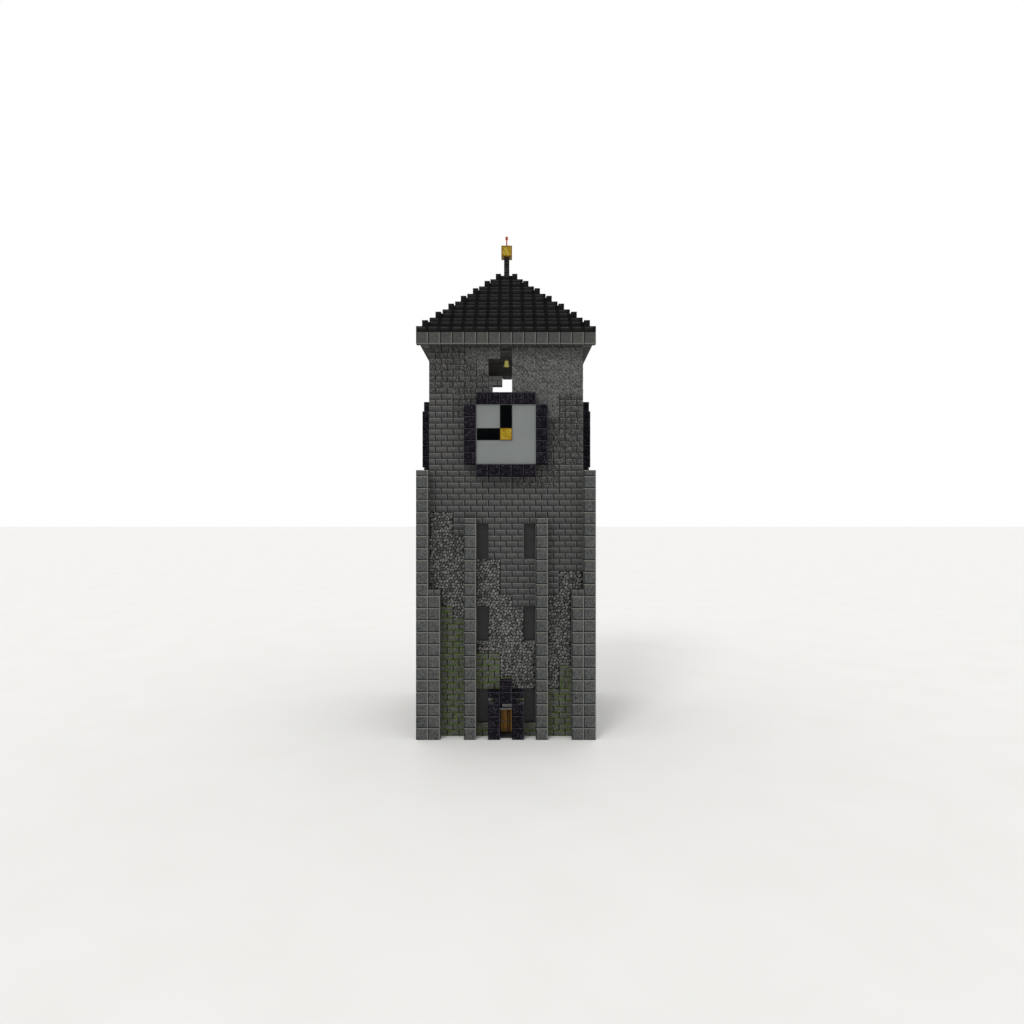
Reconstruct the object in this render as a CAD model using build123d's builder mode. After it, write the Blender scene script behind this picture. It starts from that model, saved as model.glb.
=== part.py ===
"""Square masonry clock tower: stepped pyramid roof, open belfry, four dials, plank door.

A half-size model of a tower 15 m square and 45 m high. Millimetres, +Z up, front towards -Y.
The origin is the centre of the footprint at ground level.
"""

from build123d import *
import os

os.makedirs("parts", exist_ok=True)

# Plan of the shaft
body_width = 6500.0
wall_thickness = 500.0
pier_width = 500.0
pier_projection = 500.0

# Storeys of the shaft, each with a pair of windows in every side
storey_count = 3
storey_height = 3500.0
sill_height = 500.0
window_width = 500.0
window_height = 1500.0
pane_thickness = 62.0
floor_thickness = 100.0
ground_floor_thickness = 50.0

# Tops of the shaft and of what stands against it
shaft_height = 11000.0
pilaster_rise = 250.0
buttress_height = 6250.0
corner_pier_rise = 250.0

# Clock on each side
dial_size = 2500.0
dial_recess = 75.0
frame_bar = 500.0
mortar_joint = 10.0
hand_width = 500.0
hand_thickness = 12.0
hand_tip_gap = 9.0
hand_gap = 8.0
hub_size = 500.0
hub_thickness = 20.0
arbor_radius = 30.0
arbor_bore_depth = 150.0
arbor_seat_gap = 0.3
arbor_running_gap = 0.6

# Stepped arch of the belfry on each side
arch_width = 1500.0
arch_shoulder_height = 1500.0
arch_key_width = 500.0
arch_key_height = 500.0

# Cornice and stepped roof
cornice_height = 500.0
cornice_lip = 250.0
roof_courses = 7
roof_rise = 500.0
roof_cap_width = 1500.0
course_bed = 750.0

# Finial
mast_width = 250.0
mast_height = 1000.0
finial_cube = 500.0
rod_width = 62.0
rod_height = 375.0
rod_head = 125.0

# Portal and door
door_width = 500.0
door_height = 1000.0
door_gap = 6.0
leaf_thickness = 94.0
jamb_width = 500.0
portal_opening_height = 1500.0
portal_notch = 250.0
portal_crest_width = 500.0
threshold_nosing = 250.0

# Door ironwork
hinge_heights = (260.0, 760.0)
hinge_offset = 24.0
knuckle_radius = 18.0
knuckle_height = 50.0
pin_radius = 10.0
pin_running_gap = 0.5
hinge_seat_gap = 0.3
strap_length = 330.0
strap_thickness = 12.0
hinge_plate_length = 80.0
handle_height = 505.0
handle_inset = 110.0
handle_plate_width = 30.0
handle_plate_height = 90.0
handle_plate_thickness = 6.0
handle_grip_reach = 40.0
handle_grip_width = 12.0
handle_grip_thickness = 10.0
handle_grip_margin = 10.0
handle_grip_bend = 9.0

# Bell
bell_set_forward = 1000.0
bell_rim_radius = 125.0
bell_rim_height = 62.0
bell_waist_radius = 94.0
bell_height = 280.0
bell_shoulder = 36.0
bell_wall = 12.0
bell_pivot_drop = 45.0
bell_pin_radius = 6.0
bell_eye_radius = 14.0
bell_eye_thickness = 20.0
bell_running_gap = 0.5
hanger_width = 120.0
hanger_depth = 60.0
hanger_plate_thickness = 8.0
hanger_cheek = 8.0
hanger_gap = 6.0

# Lines and levels that follow from the sizes above
body_half = body_width / 2
inner_half = body_half - wall_thickness
outer_half = body_half + pier_projection
dial_half = dial_size / 2
top_window_head = (storey_count - 1) * storey_height + sill_height + window_height
pilaster_height = top_window_head + pilaster_rise
corner_pier_height = shaft_height + corner_pier_rise
pilaster_centre = dial_half + frame_bar / 2
window_centre = pilaster_centre - pier_width / 2 - window_width / 2
dial_centre_height = shaft_height + frame_bar + dial_half
belfry_sill = shaft_height + 2 * frame_bar + dial_size
wall_top = belfry_sill + arch_shoulder_height + arch_key_height
cornice_top = wall_top + cornice_height
roof_step = (outer_half - roof_cap_width / 2) / (roof_courses - 1)
roof_top = cornice_top + roof_courses * roof_rise
mast_top = roof_top + mast_height
portal_head_height = 2 * portal_notch

# Each side's plane lies on the wall face: local X to the right as seen from outside, local Y up
sides = {
    "front": Plane(origin=(0, -body_half, 0), x_dir=(1, 0, 0), z_dir=(0, -1, 0)),
    "right": Plane(origin=(body_half, 0, 0), x_dir=(0, 1, 0), z_dir=(1, 0, 0)),
    "back": Plane(origin=(0, body_half, 0), x_dir=(-1, 0, 0), z_dir=(0, 1, 0)),
    "left": Plane(origin=(-body_half, 0, 0), x_dir=(0, -1, 0), z_dir=(-1, 0, 0)),
}

# The front and back walls run through the corners, and the side walls stand between them
wall_half = {"front": body_half, "right": inner_half, "back": body_half, "left": inner_half}

window_places = [
    (x, floor * storey_height + sill_height + window_height / 2)
    for x in (-window_centre, window_centre)
    for floor in range(storey_count)
]


def finish(piece, label):
    """Label a finished piece and write it to its own file."""
    piece.part.label = label
    export_step(piece.part, f"parts/{label}.step")


def wall_panel(side, left, right, bottom, top, label):
    """A flat stretch of the shaft's wall, with the windows that fall inside it cut through."""
    windows = [(x, z) for x, z in window_places if left < x < right]
    with BuildPart() as panel:
        with BuildSketch(sides[side]):
            with Locations(((left + right) / 2, (bottom + top) / 2)):
                Rectangle(right - left, top - bottom)
            if windows:
                with Locations(*windows):
                    Rectangle(window_width, window_height, mode=Mode.SUBTRACT)
        extrude(amount=-wall_thickness)
    finish(panel, label)


# Shaft walls: the front wall is in three stretches, beside and over the doorway
wall_panel("front", -body_half, -door_width / 2, 0, shaft_height, "front_wall_left")
wall_panel("front", door_width / 2, body_half, 0, shaft_height, "front_wall_right")
wall_panel(
    "front", -door_width / 2, door_width / 2, portal_opening_height, shaft_height, "front_wall_over_door"
)
for side in ("back", "left", "right"):
    wall_panel(side, -wall_half[side], wall_half[side], 0, shaft_height, f"{side}_wall")

# Belfry walls: behind the dial and up to the cornice, with the stepped arch cut through
for side, plane in sides.items():
    with BuildPart() as belfry_wall:
        with BuildSketch(plane):
            with Locations((0, (shaft_height + wall_top) / 2)):
                Rectangle(2 * wall_half[side], wall_top - shaft_height)
            with Locations((0, belfry_sill)):
                Rectangle(
                    arch_width,
                    arch_shoulder_height,
                    align=(Align.CENTER, Align.MIN),
                    mode=Mode.SUBTRACT,
                )
                Rectangle(
                    arch_key_width,
                    arch_shoulder_height + arch_key_height,
                    align=(Align.CENTER, Align.MIN),
                    mode=Mode.SUBTRACT,
                )
        extrude(amount=-wall_thickness)
    finish(belfry_wall, f"belfry_wall_{side}")

# One bay of the front arch is walled up, from the key's right edge to the arch's right edge
with BuildPart() as arch_infill:
    with BuildSketch(sides["front"]):
        with Locations((arch_key_width / 2, belfry_sill)):
            Rectangle(
                (arch_width - arch_key_width) / 2,
                arch_shoulder_height,
                align=(Align.MIN, Align.MIN),
            )
    extrude(amount=-wall_thickness)
finish(arch_infill, "arch_infill")

# Glass in the windows of each side, one pane a window, in the middle of the wall
for side, plane in sides.items():
    with BuildPart() as windows:
        with BuildSketch(plane.offset(-(wall_thickness - pane_thickness) / 2)):
            with Locations(*window_places):
                Rectangle(window_width, window_height)
        extrude(amount=-pane_thickness)
    finish(windows, f"windows_{side}")

# Corner piers, and the lower buttresses beside them, all standing against the walls
with BuildPart() as corner_piers:
    pier_centre = body_half + pier_projection / 2
    with BuildSketch():
        with GridLocations(2 * pier_centre, 2 * pier_centre, 2, 2):
            Rectangle(pier_projection, pier_projection)
    extrude(amount=corner_pier_height)
finish(corner_piers, "corner_piers")

with BuildPart() as buttresses:
    for plane in sides.values():
        with BuildSketch(plane):
            for x in (-body_half + pier_width / 2, body_half - pier_width / 2):
                with Locations((x, buttress_height / 2)):
                    Rectangle(pier_width, buttress_height)
        extrude(amount=pier_projection)
finish(buttresses, "buttresses")

# Pilasters that line up under the clock frames' uprights
with BuildPart() as pilasters:
    for plane in sides.values():
        with BuildSketch(plane):
            for x in (-pilaster_centre, pilaster_centre):
                with Locations((x, pilaster_height / 2)):
                    Rectangle(pier_width, pilaster_height)
        extrude(amount=pier_projection)
finish(pilasters, "pilasters")


def floor_slab(top, thickness, label):
    """A floor that fills the shaft between the walls, given by the level of its top."""
    with BuildPart() as slab:
        with BuildSketch(Plane.XY.offset(top - thickness)):
            Rectangle(2 * inner_half, 2 * inner_half)
        extrude(amount=thickness)
    finish(slab, label)


# Floors
floor_slab(ground_floor_thickness, ground_floor_thickness, "ground_floor")
floor_slab(storey_height, floor_thickness, "first_floor")
floor_slab(2 * storey_height, floor_thickness, "second_floor")
floor_slab(belfry_sill, floor_thickness, "belfry_floor")

# Portal: two jambs, and a stepped head with a crest that stands on its front half
with BuildPart() as portal_jambs:
    with BuildSketch(sides["front"]):
        for x in (-(door_width + jamb_width) / 2, (door_width + jamb_width) / 2):
            with Locations((x, portal_opening_height / 2)):
                Rectangle(jamb_width, portal_opening_height)
    extrude(amount=pier_projection)
finish(portal_jambs, "portal_jambs")

with BuildPart() as portal_head:
    portal_half = door_width / 2 + jamb_width
    head_top = portal_opening_height + portal_head_height
    with BuildSketch(sides["front"]):
        with BuildLine():
            Polyline(
                (-portal_half + portal_notch, portal_opening_height),
                (portal_half - portal_notch, portal_opening_height),
                (portal_half - portal_notch, portal_opening_height + portal_notch),
                (portal_half, portal_opening_height + portal_notch),
                (portal_half, head_top),
                (portal_crest_width / 2, head_top),
                (portal_crest_width / 2, head_top + portal_notch),
                (-portal_crest_width / 2, head_top + portal_notch),
                (-portal_crest_width / 2, head_top),
                (-portal_half, head_top),
                (-portal_half, portal_opening_height + portal_notch),
                (-portal_half + portal_notch, portal_opening_height + portal_notch),
                close=True,
            )
        make_face()
    extrude(amount=pier_projection)
    with BuildSketch(sides["front"].offset(pier_projection)):
        with Locations((0, head_top + portal_notch)):
            Rectangle(portal_crest_width, portal_notch, align=(Align.CENTER, Align.MIN))
    extrude(amount=-pier_projection / 2)
finish(portal_head, "portal_head")

# Threshold: fills the doorway's floor and comes out under the portal
with BuildPart() as door_threshold:
    with BuildSketch():
        with Locations((0, -body_half - threshold_nosing)):
            Rectangle(
                door_width,
                threshold_nosing + wall_thickness,
                align=(Align.CENTER, Align.MIN),
            )
    extrude(amount=ground_floor_thickness)
finish(door_threshold, "door_threshold")

# Door leaf, flush with the wall's inner face
leaf_half = door_width / 2 - door_gap
leaf_bottom = ground_floor_thickness + door_gap
leaf_top = door_height - door_gap
leaf_face = -inner_half - leaf_thickness
with BuildPart() as door_leaf:
    with BuildSketch(Plane.XY.offset(leaf_bottom)):
        with Locations((0, -inner_half - leaf_thickness / 2)):
            Rectangle(2 * leaf_half, leaf_thickness)
    extrude(amount=leaf_top - leaf_bottom)
finish(door_leaf, "door_leaf")

# Transom: a thin stone slab in the leaf's plane that closes the doorway over the leaf
with BuildPart() as door_transom:
    with BuildSketch(Plane.XY.offset(door_height)):
        with Locations((0, -inner_half - leaf_thickness / 2)):
            Rectangle(door_width, leaf_thickness)
    extrude(amount=portal_opening_height - door_height)
finish(door_transom, "door_transom")

# Pull handle on the leaf's outer face: a back plate and a bent grip
with BuildPart() as door_handle:
    handle_x = -leaf_half + handle_inset
    plate_face = leaf_face - handle_plate_thickness
    with BuildSketch(Plane.XZ.offset(-leaf_face)):
        with Locations((handle_x, handle_height)):
            RectangleRounded(handle_plate_width, handle_plate_height, handle_plate_width / 4)
    extrude(amount=handle_plate_thickness)
    grip_height = handle_plate_height - 2 * handle_grip_margin
    with BuildSketch(Plane.YZ.offset(handle_x - handle_grip_width / 2)):
        with Locations((plate_face, handle_height)):
            Rectangle(handle_grip_reach, grip_height, align=(Align.MAX, Align.CENTER))
        outer_corners = vertices().group_by(Axis.Y)[0]
        fillet(outer_corners, handle_grip_bend)
        with Locations((plate_face, handle_height)):
            Rectangle(
                handle_grip_reach - handle_grip_thickness,
                grip_height - 2 * handle_grip_thickness,
                align=(Align.MAX, Align.CENTER),
                mode=Mode.SUBTRACT,
            )
    extrude(amount=handle_grip_width)
finish(door_handle, "door_handle")

# Door hinges: an eyed strap on the leaf turns on a pintle whose plate is on the wall's inner face
hinge_x = door_width / 2
hinge_y = -inner_half + hinge_offset
with BuildPart() as door_straps:
    for height in hinge_heights:
        with BuildSketch(Plane.XY.offset(height + hinge_seat_gap)):
            with Locations((leaf_half, -inner_half)):
                Rectangle(strap_length, strap_thickness, align=(Align.MAX, Align.MIN))
            with Locations((hinge_x, hinge_y)):
                Circle(knuckle_radius)
                Circle(pin_radius + pin_running_gap, mode=Mode.SUBTRACT)
        extrude(amount=knuckle_height)
finish(door_straps, "door_straps")

with BuildPart() as door_pintles:
    for height in hinge_heights:
        with BuildSketch(Plane.XY.offset(height - knuckle_height)):
            with Locations((hinge_x, hinge_y)):
                Circle(knuckle_radius)
            with Locations((hinge_x + door_gap, -inner_half)):
                Rectangle(hinge_plate_length, strap_thickness, align=(Align.MIN, Align.MIN))
        extrude(amount=knuckle_height)
        with BuildSketch(Plane.XY.offset(height)):
            with Locations((hinge_x, hinge_y)):
                Circle(pin_radius)
        extrude(amount=knuckle_height)
finish(door_pintles, "door_pintles")

# Clock frames: two rails and two uprights a side, proud of the wall by the piers' projection
with BuildPart() as clock_frames:
    rail_offset = dial_half + frame_bar / 2
    for plane in sides.values():
        with BuildSketch(plane):
            for shift in (-rail_offset, rail_offset):
                with Locations((0, dial_centre_height + shift)):
                    Rectangle(dial_size - 2 * mortar_joint, frame_bar)
                with Locations((shift, dial_centre_height)):
                    Rectangle(frame_bar, dial_size)
        extrude(amount=pier_projection)
finish(clock_frames, "clock_frames")

# Dials, set back in their frames, with a blind hole that holds the arbor
dial_thickness = pier_projection - dial_recess
with BuildPart() as clock_dials:
    for plane in sides.values():
        with BuildSketch(plane):
            with Locations((0, dial_centre_height)):
                Rectangle(dial_size, dial_size)
        extrude(amount=dial_thickness)
        with BuildSketch(plane.offset(dial_thickness)):
            with Locations((0, dial_centre_height)):
                Circle(arbor_radius + arbor_seat_gap)
        extrude(amount=-arbor_bore_depth, mode=Mode.SUBTRACT)
finish(clock_dials, "clock_dials")

# Levels of the hands in front of each dial
hour_hand_back = dial_thickness + hand_gap
minute_hand_back = hour_hand_back + hand_thickness + hand_gap
hub_back = minute_hand_back + hand_thickness

# Arbors: each is seated at the bottom of the dial's hole and ends inside the minute hand's hub
arbor_base = dial_thickness - arbor_bore_depth
arbor_end = hub_back + hub_thickness / 2
with BuildPart() as clock_arbors:
    for plane in sides.values():
        with BuildSketch(plane.offset(arbor_base)):
            with Locations((0, dial_centre_height)):
                Circle(arbor_radius)
        extrude(amount=arbor_end - arbor_base)
finish(clock_arbors, "clock_arbors")

# Hands: the tip's corners stay inside the frame all the way round
hand_half = hand_width / 2
hand_reach = ((dial_half - hand_tip_gap) ** 2 - hand_half**2) ** 0.5
bore_radius = arbor_radius + arbor_running_gap
for side, plane in sides.items():
    with BuildPart() as hour_hand:
        with BuildSketch(plane.offset(hour_hand_back)):
            with Locations((hand_half, dial_centre_height)):
                Rectangle(hand_reach + hand_half, hand_width, align=(Align.MAX, Align.CENTER))
            with Locations((0, dial_centre_height)):
                Circle(bore_radius, mode=Mode.SUBTRACT)
        extrude(amount=hand_thickness)
    finish(hour_hand, f"hour_hand_{side}")

    with BuildPart() as minute_hand:
        with BuildSketch(plane.offset(minute_hand_back)):
            with Locations((0, dial_centre_height - hand_half)):
                Rectangle(hand_width, hand_reach + hand_half, align=(Align.CENTER, Align.MIN))
        extrude(amount=hand_thickness)
        with BuildSketch(plane.offset(hub_back)):
            with Locations((0, dial_centre_height)):
                Rectangle(hub_size, hub_size)
        extrude(amount=hub_thickness)
        with BuildSketch(plane.offset(minute_hand_back)):
            with Locations((0, dial_centre_height)):
                Circle(bore_radius)
        extrude(amount=arbor_end + arbor_running_gap - minute_hand_back, mode=Mode.SUBTRACT)
    finish(minute_hand, f"minute_hand_{side}")

# Cornice: the front and back stones drop at the outer edge, the side stones at the inner edge
lip_level = cornice_height - cornice_lip
half_projection = pier_projection / 2


def cornice_stone(direction, profile_plane, half_length, inner_base, outer_base, label):
    """One side's run of cornice, as a two-step profile drawn outwards and pushed both ways."""
    wall_line = direction * body_half
    middle_line = direction * (body_half + half_projection)
    outer_line = direction * outer_half
    with BuildPart() as cornice:
        with BuildSketch(profile_plane):
            with BuildLine():
                Polyline(
                    (wall_line, wall_top + inner_base),
                    (middle_line, wall_top + inner_base),
                    (middle_line, wall_top + outer_base),
                    (outer_line, wall_top + outer_base),
                    (outer_line, cornice_top),
                    (wall_line, cornice_top),
                    close=True,
                )
            make_face()
        extrude(amount=half_length, both=True)
    finish(cornice, label)


cornice_stone(-1, Plane.YZ, outer_half, lip_level, 0, "cornice_front")
cornice_stone(1, Plane.YZ, outer_half, lip_level, 0, "cornice_back")
cornice_stone(-1, Plane.XZ, body_half, 0, lip_level, "cornice_left")
cornice_stone(1, Plane.XZ, body_half, 0, lip_level, "cornice_right")

# Deck over the belfry, between the cornice stones
with BuildPart() as roof_deck:
    with BuildSketch(Plane.XY.offset(wall_top)):
        Rectangle(body_width, body_width)
    extrude(amount=cornice_height)
finish(roof_deck, "roof_deck")

# Roof: corbelled courses, each in two half-courses that step in and leave a hollow inside.
# The upper half-course of the two side rows runs through to the front and back edges.
for course in range(roof_courses):
    lower_half = outer_half - course * roof_step
    upper_half = lower_half - roof_step / 2
    course_base = cornice_top + course * roof_rise
    with BuildPart() as roof_course:
        for half, base in ((lower_half, course_base), (upper_half, course_base + roof_rise / 2)):
            with BuildSketch(Plane.XY.offset(base)):
                Rectangle(2 * half, 2 * half)
                if half == upper_half:
                    with GridLocations(2 * upper_half - roof_step / 2, 0, 2, 1):
                        Rectangle(roof_step / 2, 2 * lower_half)
                if half - course_bed > mast_width / 2:
                    Rectangle(
                        2 * (half - course_bed),
                        2 * (half - course_bed),
                        mode=Mode.SUBTRACT,
                    )
            extrude(amount=roof_rise / 2)
    finish(roof_course, f"roof_course_{course + 1}")


def finial_stage(width, base, height, label):
    """A square post centred on the tower."""
    with BuildPart() as stage:
        with BuildSketch(Plane.XY.offset(base)):
            Rectangle(width, width)
        extrude(amount=height)
    finish(stage, label)


# Finial: mast, gilded block and lightning rod
finial_stage(mast_width, roof_top, mast_height, "mast")
finial_stage(finial_cube, mast_top, finial_cube, "gilded_block")

with BuildPart() as lightning_rod:
    rod_base = mast_top + finial_cube
    with BuildSketch(Plane.XY.offset(rod_base)):
        Rectangle(rod_width, rod_width)
    extrude(amount=rod_height)
    with BuildSketch(Plane.XY.offset(rod_base + rod_height)):
        Rectangle(rod_head, rod_head)
    extrude(amount=rod_head)
finish(lightning_rod, "lightning_rod")

# Bell: a turned shell with a thick rim, hung by an eye under the deck
pivot_height = wall_top - bell_pivot_drop
bell_top = pivot_height - bell_eye_radius - hanger_gap
bell_mouth = bell_top - bell_height
with BuildPart() as bell:
    with BuildSketch(Plane.XZ.offset(bell_set_forward)):
        with BuildLine():
            Polyline(
                (bell_rim_radius - bell_wall, bell_mouth),
                (bell_rim_radius, bell_mouth),
                (bell_rim_radius, bell_mouth + bell_rim_height),
                (bell_waist_radius, bell_mouth + bell_rim_height + bell_wall),
                (bell_waist_radius, bell_top - bell_shoulder),
                (bell_waist_radius - bell_shoulder, bell_top),
                (0, bell_top),
                (0, bell_top - bell_wall),
                (bell_waist_radius - bell_shoulder - bell_wall / 2, bell_top - bell_wall),
                (bell_waist_radius - bell_wall, bell_top - bell_shoulder - bell_wall / 2),
                (bell_waist_radius - bell_wall, bell_mouth + bell_rim_height),
                close=True,
            )
        make_face()
    revolve(axis=Axis((0, -bell_set_forward, 0), (0, 0, 1)))
    with BuildSketch(Plane.YZ.offset(-bell_eye_thickness / 2)):
        with Locations((-bell_set_forward, pivot_height)):
            Circle(bell_eye_radius)
        with Locations((-bell_set_forward, bell_top - bell_wall / 2)):
            Rectangle(
                2 * bell_eye_radius,
                pivot_height - bell_top + bell_wall / 2,
                align=(Align.CENTER, Align.MIN),
            )
        with Locations((-bell_set_forward, pivot_height)):
            Circle(bell_pin_radius + bell_running_gap, mode=Mode.SUBTRACT)
    extrude(amount=bell_eye_thickness)
finish(bell, "bell")

# Hanger: a plate under the deck with two cheeks that hold the bell's pin
with BuildPart() as bell_hanger:
    cheek_inner = bell_eye_thickness / 2 + hanger_gap
    cheek_drop = bell_pivot_drop + bell_eye_radius - hanger_plate_thickness
    with BuildSketch(Plane.XY.offset(wall_top)):
        with Locations((0, -bell_set_forward)):
            Rectangle(hanger_width, hanger_depth)
    extrude(amount=-hanger_plate_thickness)
    with BuildSketch(Plane.XY.offset(wall_top - hanger_plate_thickness)):
        for x in (-cheek_inner - hanger_cheek / 2, cheek_inner + hanger_cheek / 2):
            with Locations((x, -bell_set_forward)):
                Rectangle(hanger_cheek, 2 * bell_eye_radius)
    extrude(amount=-cheek_drop)
    with BuildSketch(Plane.YZ.offset(-cheek_inner)):
        with Locations((-bell_set_forward, pivot_height)):
            Circle(bell_pin_radius)
    extrude(amount=2 * cheek_inner)
finish(bell_hanger, "bell_hanger")
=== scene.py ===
# %% [markdown]
# # A half-size clock tower in stone
#
# The tower is laid on a square module: half a metre in this model, one metre on the tower itself.
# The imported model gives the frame: walls, floors, piers, dials, hands, roof courses, door and bell.
# This lesson lays the stones over it one by one, planks the door, turns the bell, and gives every
# surface a finish that is worked out by nodes alone.

# %% Load the frame
import math
import bpy
import numpy as np
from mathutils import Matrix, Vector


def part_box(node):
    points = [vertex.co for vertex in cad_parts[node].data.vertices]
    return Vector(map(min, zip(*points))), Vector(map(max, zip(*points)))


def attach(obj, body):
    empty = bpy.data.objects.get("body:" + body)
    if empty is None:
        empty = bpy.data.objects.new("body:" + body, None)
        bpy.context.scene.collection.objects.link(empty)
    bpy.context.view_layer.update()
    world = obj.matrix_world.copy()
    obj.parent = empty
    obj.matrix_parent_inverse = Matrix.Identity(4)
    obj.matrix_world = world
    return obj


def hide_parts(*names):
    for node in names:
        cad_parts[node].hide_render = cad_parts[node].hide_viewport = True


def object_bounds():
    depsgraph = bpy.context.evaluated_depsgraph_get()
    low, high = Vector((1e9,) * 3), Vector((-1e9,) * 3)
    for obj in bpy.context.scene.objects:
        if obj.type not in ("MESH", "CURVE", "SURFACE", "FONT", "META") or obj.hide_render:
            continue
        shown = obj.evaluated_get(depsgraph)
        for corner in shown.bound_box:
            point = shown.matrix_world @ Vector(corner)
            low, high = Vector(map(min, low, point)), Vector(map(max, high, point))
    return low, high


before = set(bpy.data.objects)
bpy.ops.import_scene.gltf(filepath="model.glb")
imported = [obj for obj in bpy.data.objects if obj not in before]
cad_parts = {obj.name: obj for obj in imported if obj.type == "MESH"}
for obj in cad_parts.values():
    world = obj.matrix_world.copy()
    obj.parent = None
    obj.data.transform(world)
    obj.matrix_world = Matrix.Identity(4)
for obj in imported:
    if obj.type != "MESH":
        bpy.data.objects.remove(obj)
cad_low, cad_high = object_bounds()
print(len(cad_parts), "nodes;", tuple(round(v, 3) for v in cad_high - cad_low), "m over all")

# %% [markdown]
# ## Measures
#
# All places come from the frame's own boxes, so nothing here has to be fitted by eye. Levels on a
# wall are counted in modules from the tower's foot, and columns in modules from its left edge as seen
# from outside.

# %% Measures
module = 2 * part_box("front_wall_right")[0].x
wall_half = -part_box("front_wall_left")[0].x
pier_reach = cad_high.x - wall_half
belfry_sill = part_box("belfry_floor")[1].z
pier_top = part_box("corner_piers")[1].z
columns = round(2 * wall_half / module)
levels = round(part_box("belfry_wall_front")[1].z / module)
side_names = ("front", "right", "back", "left")
along = dict(zip(side_names, ((1, 0), (0, 1), (-1, 0), (0, -1))))
outward = dict(zip(side_names, ((0, -1), (1, 0), (0, 1), (-1, 0))))
print("module", module, "m; wall", columns, "columns wide and", levels, "levels high")

# %% [markdown]
# ## Camera
#
# The tower is seen square on by a camera that stands about 28 m from its front, a little under
# mid-height. A level camera keeps the walls upright in the picture, so no lens shift is needed.

# %% Camera
def placed(name, data):
    """An object that holds the data, linked into the scene."""
    made = bpy.data.objects.new(name, data)
    bpy.context.scene.collection.objects.link(made)
    return made


view_angle = 75
photo_camera = placed("photo_camera", bpy.data.cameras.new("photo_camera"))
photo_camera.location = (0.25, -31.55, 9.5)
photo_camera.rotation_euler = (math.radians(90), 0, 0)
photo_camera.data.sensor_width = 36.0
photo_camera.data.lens = 18.0 / math.tan(math.radians(view_angle / 2))
photo_camera.data.clip_end = 2000.0
bpy.context.scene.camera = photo_camera
bpy.context.scene.view_settings.view_transform = "Standard"
print("lens", round(photo_camera.data.lens, 3), "mm")

# %% [markdown]
# ## Shader expressions
#
# Finishes are easier to read as sums than as nodes. A small class wraps one output of a node, and
# its operators add the Math node that they stand for, so `1 - mask` or `grain * 0.4` works as it
# looks. Every other node comes from one method that sets its settings first and its sockets after.

# %% Shader expressions
def operator(name, turned=False):
    """A method that adds the Math node of this name, its two values turned round if asked."""
    return lambda self, other: self.nodes.maths(name, *((other, self) if turned else (self, other)))


class Number:
    """A number that changes over a surface: each operator adds the Math node that it names."""

    __add__ = __radd__ = operator("ADD")
    __mul__ = __rmul__ = operator("MULTIPLY")
    __sub__, __rsub__ = operator("SUBTRACT"), operator("SUBTRACT", turned=True)
    __gt__, __lt__ = operator("GREATER_THAN"), operator("LESS_THAN")

    def __init__(self, nodes, socket):
        self.nodes, self.socket = nodes, socket


class Nodes:
    """A node tree that expressions add to."""

    def __init__(self, tree):
        self.tree = tree

    def put(self, socket, value):
        """A wrapped output is linked, and anything else is the socket's own value."""
        if isinstance(value, Number):
            self.tree.links.new(value.socket, socket)
        else:
            socket.default_value = value

    def node(self, kind, settings=None, inputs=None, output=0):
        """Any node: its settings first, then the values or links that it takes."""
        made = self.tree.nodes.new("ShaderNode" + kind)
        for key, value in (settings or {}).items():
            setattr(made, key, value)
        for key, value in (inputs or {}).items():
            self.put(made.inputs[key], value)
        return Number(self, made.outputs[output])

    def maths(self, operation, *values):
        """A Math node on one, two or three numbers."""
        return self.node("Math", {"operation": operation}, dict(enumerate(values)))


def seen(shade):
    """Linear light of a shade as the eye sees it: 0 to 255, one number for a grey or one a channel."""
    share = np.broadcast_to(shade, 3) / 255
    linear = np.where(share <= 0.04045, share / 12.92, ((share + 0.055) / 1.055) ** 2.4)
    return (*linear.tolist(), 1.0)


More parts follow.
